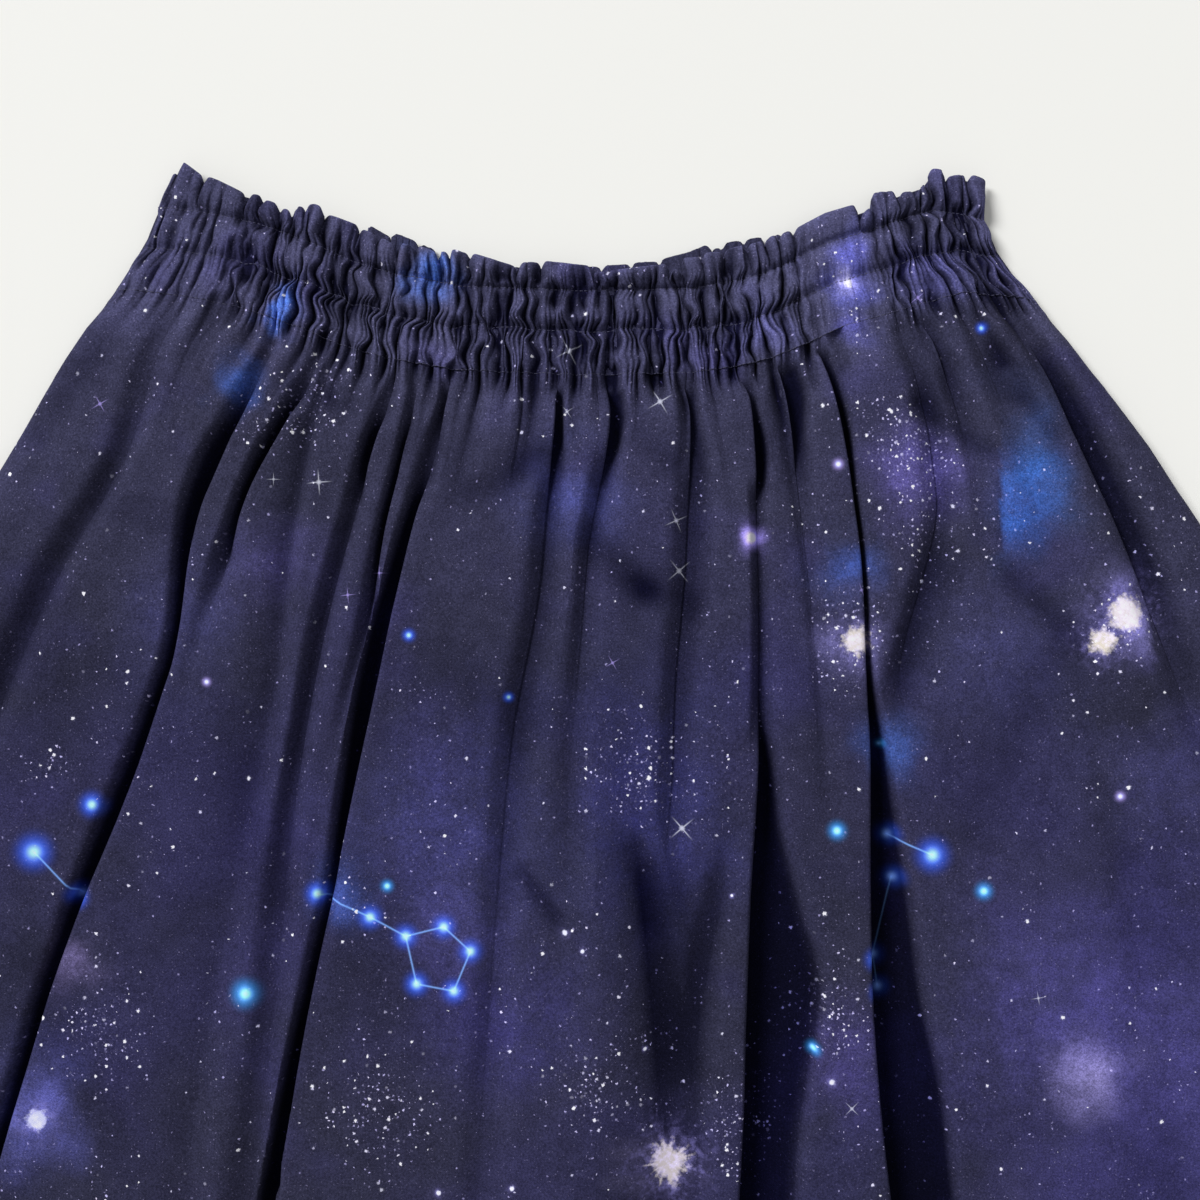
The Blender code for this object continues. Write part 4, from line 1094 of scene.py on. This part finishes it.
def star_dust(graph, place, flat, field, colour):
    """Adds dust and stars of six sizes, scattered over the cloth and ragged at their edges."""
    ramp = graph.ramp
    crowd = ramp(graph.noise(flat, 26.0, 3.0, 0.6), 0.42, 0.70) * 0.28 + field * 1.05
    flake = graph.add("ShaderNodeTexNoise", None, Vector=flat, Scale=1500.0, Detail=1.0)
    plan = graph.vector("ADD", graph.vector("ADD", place, (1.0, 1.0, 0.0)),
                        graph.vector("SCALE", flake.outputs["Color"], Scale=0.0012))
    for scale, size, spread, common, crowded, strength, tone in STAR_SIZES:
        cell = graph.add("ShaderNodeTexVoronoi", {"feature": "F1", "voronoi_dimensions": "2D"},
                         Vector=plan, Scale=scale, Randomness=1.0)
        luck = graph.split(cell.outputs["Color"], "ShaderNodeSeparateColor")
        lit = graph.math("GREATER_THAN", luck[0], (1.0 - common) - crowd * crowded)
        radius = ramp(luck[1], 0.0, 1.0, 0.5 * size, 1.35 * size)
        away = graph.math("DIVIDE", cell.outputs["Distance"], radius)
        shape = graph.math("MAXIMUM", ramp(away, 1.15, 0.5), ramp(away, spread, 0.4) * 0.12)
        colour = graph.mix(shape * lit * (luck[2] ** 1.5 * strength), colour, tone, "ADD")
    return colour


def paint_shade_and_highlight(graph, hollow, colour):
    """Paints shade on the cloth, darker and bluer in its hollows, and paints highlight that makes
    the gathers' crests pale.
    """
    # Painted highlight on the crests, up to 2.15 times; painted shade in the hollows, which keeps
    # more of the blue.
    pale = graph.ramp(hollow, -0.55, 0.05, 2.15, 1.0)
    deep = graph.ramp(hollow, 0.0, 0.80, 1.0, 0.095) * pale
    painted_shade_blue = graph.ramp(hollow, 0.0, 0.80, 1.0, 0.19) * pale
    shade = graph.add("ShaderNodeCombineXYZ", None, X=deep, Y=deep, Z=painted_shade_blue)
    return graph.mix(1.0, colour, shade.outputs[0], "MULTIPLY")


def placed_motifs(graph, place, flat, hollow, colour):
    """Adds the placed motifs and chains, dimmed by the painted shade in the hollows."""
    ramp, mix, noise, exp = graph.ramp, graph.mix, graph.noise, graph.exp
    x, y, kind = graph.split(graph.attribute("motif")["Vector"])
    tint = graph.attribute("motif_colour")["Color"]
    radius = graph.math("SQRT", abs(x) ** 2.0 + abs(y) ** 2.0)
    is_star = ramp(kind, 0.6, 0.4)
    is_burst = ramp(kind, 1.4, 1.6)
    is_glint = 1.0 - is_star - is_burst
    # Painted shade: the motifs and chains are dimmed in the hollows.
    painted_motif_shade = ramp(hollow, 0.2, 0.95, 1.0, 0.16)

    halo = exp(radius * -1.15) * ramp(radius, 3.6, 1.6)
    colour = mix(halo * (is_star * painted_motif_shade) * 2.3, colour, tint, "ADD")
    core = exp(radius * radius * -1.9)
    colour = mix(core * (is_star * painted_motif_shade) * 1.10, colour, (0.42, 0.72, 1.0), "ADD")

    arms = [exp((abs(one) * 30.0) ** 2.0 * -1.0) * ramp(abs(other), 1.0, 0.1)
            for one, other in ((x, y), (y, x))]
    glint = graph.math("MAXIMUM", graph.math("MAXIMUM", *arms), ramp(radius, 0.22, 0.05))
    colour = mix(glint * is_glint * 0.56, colour, tint, "ADD")

    # a burst is a splash: a ragged core, whose rim runs out in points if it is a spiky one
    ray = graph.add("ShaderNodeCombineXYZ", None, X=x, Y=y).outputs[0]
    spikes = noise(graph.vector("NORMALIZE", ray), 2.4, 2.0, 0.7) - 0.5
    points = spikes * (ramp(kind, 2.6, 2.4) * 1.1) + noise(flat, 420.0, 3.0, 0.7) * 0.80
    splash = radius * ramp(points, 0.15, 0.65, 0.72, 1.45)
    streaks = ramp(noise(place, 330.0, 4.0, 0.7), 0.40, 0.66, 0.15, 1.5)
    fringe = exp(splash * splash * -0.8) * streaks
    colour = mix(fringe * is_burst * 0.40, colour, (0.30, 0.27, 0.72), "ADD")
    colour = mix(ramp(splash, 0.88, 0.42) * is_burst * 0.85, colour, tint, "ADD")

    along, away, _ = graph.split(graph.attribute("line")["Vector"])
    ends = ramp(along, -0.01, 0.02) * ramp(along, 1.01, 0.98)
    chain = exp(away * away * -1.0) * ends * 0.75 * painted_motif_shade
    return mix(chain, colour, (0.20, 0.42, 0.95), "ADD")


def weave(graph, flat):
    """Bump of the plain weave, which follows the thread, and of its uneven yarn."""
    thread = graph.add("ShaderNodeUVMap", {"uv_map": "thread"}).outputs[0]
    warp, weft = [graph.math("SINE", along * (2.0 * math.pi / YARNS))
                  for along in graph.split(thread)[:2]]
    height = warp * weft * 0.000045 + graph.noise(flat, 620.0, 3.0, 0.6) * 0.00018
    bump = graph.add("ShaderNodeBump", None, Strength=0.55, Distance=1.0, Height=height)
    graph.join(bump.outputs[0], graph.shader.inputs["Normal"])


def galaxy_cotton():
    """Navy cotton printed all over with haze, dust, stars and the placed motifs, under painted shade
    in its hollows and painted highlight on its crests.
    """
    graph = Graph("galaxy_cotton", (0.030, 0.027, 0.062))
    place = graph.add("ShaderNodeTexCoord").outputs["Object"]
    flat = graph.vector("MULTIPLY", place, (1.0, 1.0, 0.35))
    clouds = graph.attribute("clouds")
    # The painted shade written on the cloth: above 0 in hollows, below 0 on highlighted crests.
    hollow = graph.attribute("hollow")["Fac"]
    colour = haze(graph, place, flat, clouds["Color"])
    colour = star_dust(graph, place, flat, Number(graph, clouds["Alpha"]), colour)
    colour = paint_shade_and_highlight(graph, hollow, colour)
    colour = placed_motifs(graph, place, flat, hollow, colour)
    brightest = graph.vector("MINIMUM", colour, (0.86, 0.86, 0.90))
    graph.join(brightest, graph.shader.inputs["Base Color"])
    weave(graph, flat)
    graph.shader.inputs["Roughness"].default_value = 0.88
    graph.shader.inputs["Specular IOR Level"].default_value = 0.03
    graph.shader.inputs["Sheen Weight"].default_value = 0.03
    graph.shader.inputs["Sheen Roughness"].default_value = 0.45
    graph.shader.inputs["Sheen Tint"].default_value = (0.75, 0.75, 1.0, 1.0)
    return graph.material


def sewing_thread():
    """Navy sewing thread, a little glossier than the cloth, with its twist."""
    graph = Graph("navy_thread", (0.050, 0.048, 0.100))
    place = graph.add("ShaderNodeTexCoord").outputs["Object"]
    shade = graph.ramp(graph.noise(place, 2600.0, 2.0), 0.3, 0.7)
    colour = graph.mix(shade, (0.036, 0.036, 0.080), (0.072, 0.070, 0.140))
    graph.join(colour, graph.shader.inputs["Base Color"])
    bump = graph.add("ShaderNodeBump", None, Strength=0.4, Distance=0.0002, Height=shade)
    graph.join(bump.outputs[0], graph.shader.inputs["Normal"])
    graph.shader.inputs["Roughness"].default_value = 0.55
    return graph.material


def main():
    columns = panel_columns(961)
    top_rows = np.linspace(CASING + 0.0001, 0.070, 36)
    rows = np.concatenate([
        top_rows,
        np.linspace(top_rows[-1], 0.130, 24)[1:],
        np.linspace(0.130, 0.330, 58)[1:],
        np.linspace(0.330, SKIRT_LENGTH - 0.026, 22)[1:-1],
        np.linspace(SKIRT_LENGTH - 0.026, SKIRT_LENGTH, 10),
    ])
    look = galaxy_cotton()
    placed = placed_print()
    x, y, z, hollow = panel_points(columns, rows)
    front = np.stack([x, y, z], axis=-1)
    panel = shell("front_panel_cloth", front, 4, halve_from=len(top_rows))
    cloth_map(panel, front, rows[:, None], halve_from=len(top_rows))
    write_painted_shade(panel, hollow, len(top_rows))

    band_columns = np.linspace(-1.0, 1.0, 1101)
    x, y, z, across, down, tone = casing_points(band_columns, FRONT_PETALS, 21, 0.0022)
    z = EDGE_LIFT + np.maximum(z - EDGE_LIFT, -0.0006) * side_round(across, 0.0, CASING_ROLL)
    band = np.stack([x, y, z], axis=-1)
    casing = shell("front_casing_cloth", band, 2, thickness=2 * CLOTH)
    cloth_map(casing, band, down)
    write_painted_shade(casing, tone)

    back_columns = np.linspace(-1.0, 1.0, 961)
    x, y, z, across, down, tone = casing_points(back_columns, BACK_PETALS, 47, 0.0020,
                                                upper=False)
    back_band = np.stack([x, y, z], axis=-1)
    flat_band = np.stack([x, y, 0.0001 + 0.0 * z], axis=-1)
    back_casing = shell("back_casing_cloth", back_band, 2, side=1.0)
    cloth_map(back_casing, back_band, down)
    write_painted_shade(back_casing, tone)

    flat_rows = np.linspace(CASING + 0.0002, SKIRT_LENGTH, 120)
    flat_columns = np.linspace(-1.0, 1.0, 240)
    x, y = fan_place(*np.meshgrid(flat_columns, flat_rows))
    low = np.stack([x, y, 0.0 * x], axis=-1)
    back = shell("back_panel_cloth", low, 3, side=1.0, thickness=0.0009)
    cloth_map(back, low, flat_rows[:, None])

    stitched = [int(np.argmin(np.abs(down[:, 0] - row))) for row in STITCH_ROWS]
    hem_row = int(np.argmin(np.abs(rows - (SKIRT_LENGTH - HEM_TURN))))
    back_hem = int(np.argmin(np.abs(flat_rows - (SKIRT_LENGTH - HEM_TURN))))
    thread = sewing_thread()
    for name, lines in (
            ("front_stitching", [(*row_of(band, row), CUT_TOP) for row in stitched]
             + [(*row_of(front, hem_row), CUT_HEM)]),
            ("back_stitching", [(*row_of(flat_band, row, -1.0), CUT_TOP) for row in stitched]
             + [(*row_of(low + np.array((0.0, 0.0, 0.0001)), back_hem, -1.0), CUT_HEM)])):
        threads = stitching(name, lines)
        threads.data.materials.append(thread)
        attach(threads, "root")

    for piece, node in ((panel, "front_panel"), (casing, "front_waistband"),
                        (back_casing, "back_waistband"), (back, "back_panel")):
        piece.data.materials.append(look)
        write_print(piece, placed)
        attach(piece, "root")
        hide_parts(node)
    stage()


# ---------------------------------------------------------------- floor, light and camera
PIXEL = 0.00037              # metres on the cloth that a pixel of the photo covers
PHOTO_PIXELS = 1200          # width and height of the photo
WAIST_PIXEL = (580, 265)     # the middle of the waist in it
CLOTH_HEIGHT = 0.008         # the cloth's usual height, where the photo's scale holds


def stage():
    """A plain pale floor, soft light and the camera straight above, as in the photo."""
    bpy.ops.mesh.primitive_plane_add(size=6.0, location=(0.0, 0.0, -0.0002))
    floor = bpy.context.object
    floor.name = "floor"
    paint = bpy.data.materials.new("pale_floor")
    paint.use_nodes = True
    paint.node_tree.nodes["Principled BSDF"].inputs["Base Color"].default_value = (
        0.86, 0.86, 0.83, 1.0)
    paint.node_tree.nodes["Principled BSDF"].inputs["Roughness"].default_value = 0.7
    floor.data.materials.append(paint)

    world = bpy.data.worlds.new("studio")
    bpy.context.scene.world = world
    world.use_nodes = True
    world.node_tree.nodes["Background"].inputs["Color"].default_value = (1.0, 1.0, 1.0, 1.0)
    world.node_tree.nodes["Background"].inputs["Strength"].default_value = 0.27
    bpy.context.scene.view_settings.view_transform = "Standard"

    for name, direction, power, spread in (("key", (1.0, -0.75, -1.15), 3.10, 26.0),
                                           ("fill", (-0.8, -0.2, -1.6), 0.30, 60.0)):
        light = bpy.data.lights.new(name, "SUN")
        light.energy, light.angle = power, math.radians(spread)
        lamp = bpy.data.objects.new(name, light)
        lamp.rotation_euler = Vector(direction).to_track_quat("-Z", "Y").to_euler()
        bpy.context.scene.collection.objects.link(lamp)

    half = 0.5 * PHOTO_PIXELS
    camera = bpy.data.cameras.new("camera")
    camera.lens, camera.sensor_width = 50.0, 36.0
    eye = bpy.data.objects.new("camera", camera)
    eye.location = ((half - WAIST_PIXEL[0]) * PIXEL + OFFSET_X,
                    (WAIST_PIXEL[1] - half) * PIXEL + OFFSET_Y,
                    half * PIXEL * 2.0 * camera.lens / camera.sensor_width + CLOTH_HEIGHT)
    bpy.context.scene.collection.objects.link(eye)
    bpy.context.scene.camera = eye


main()
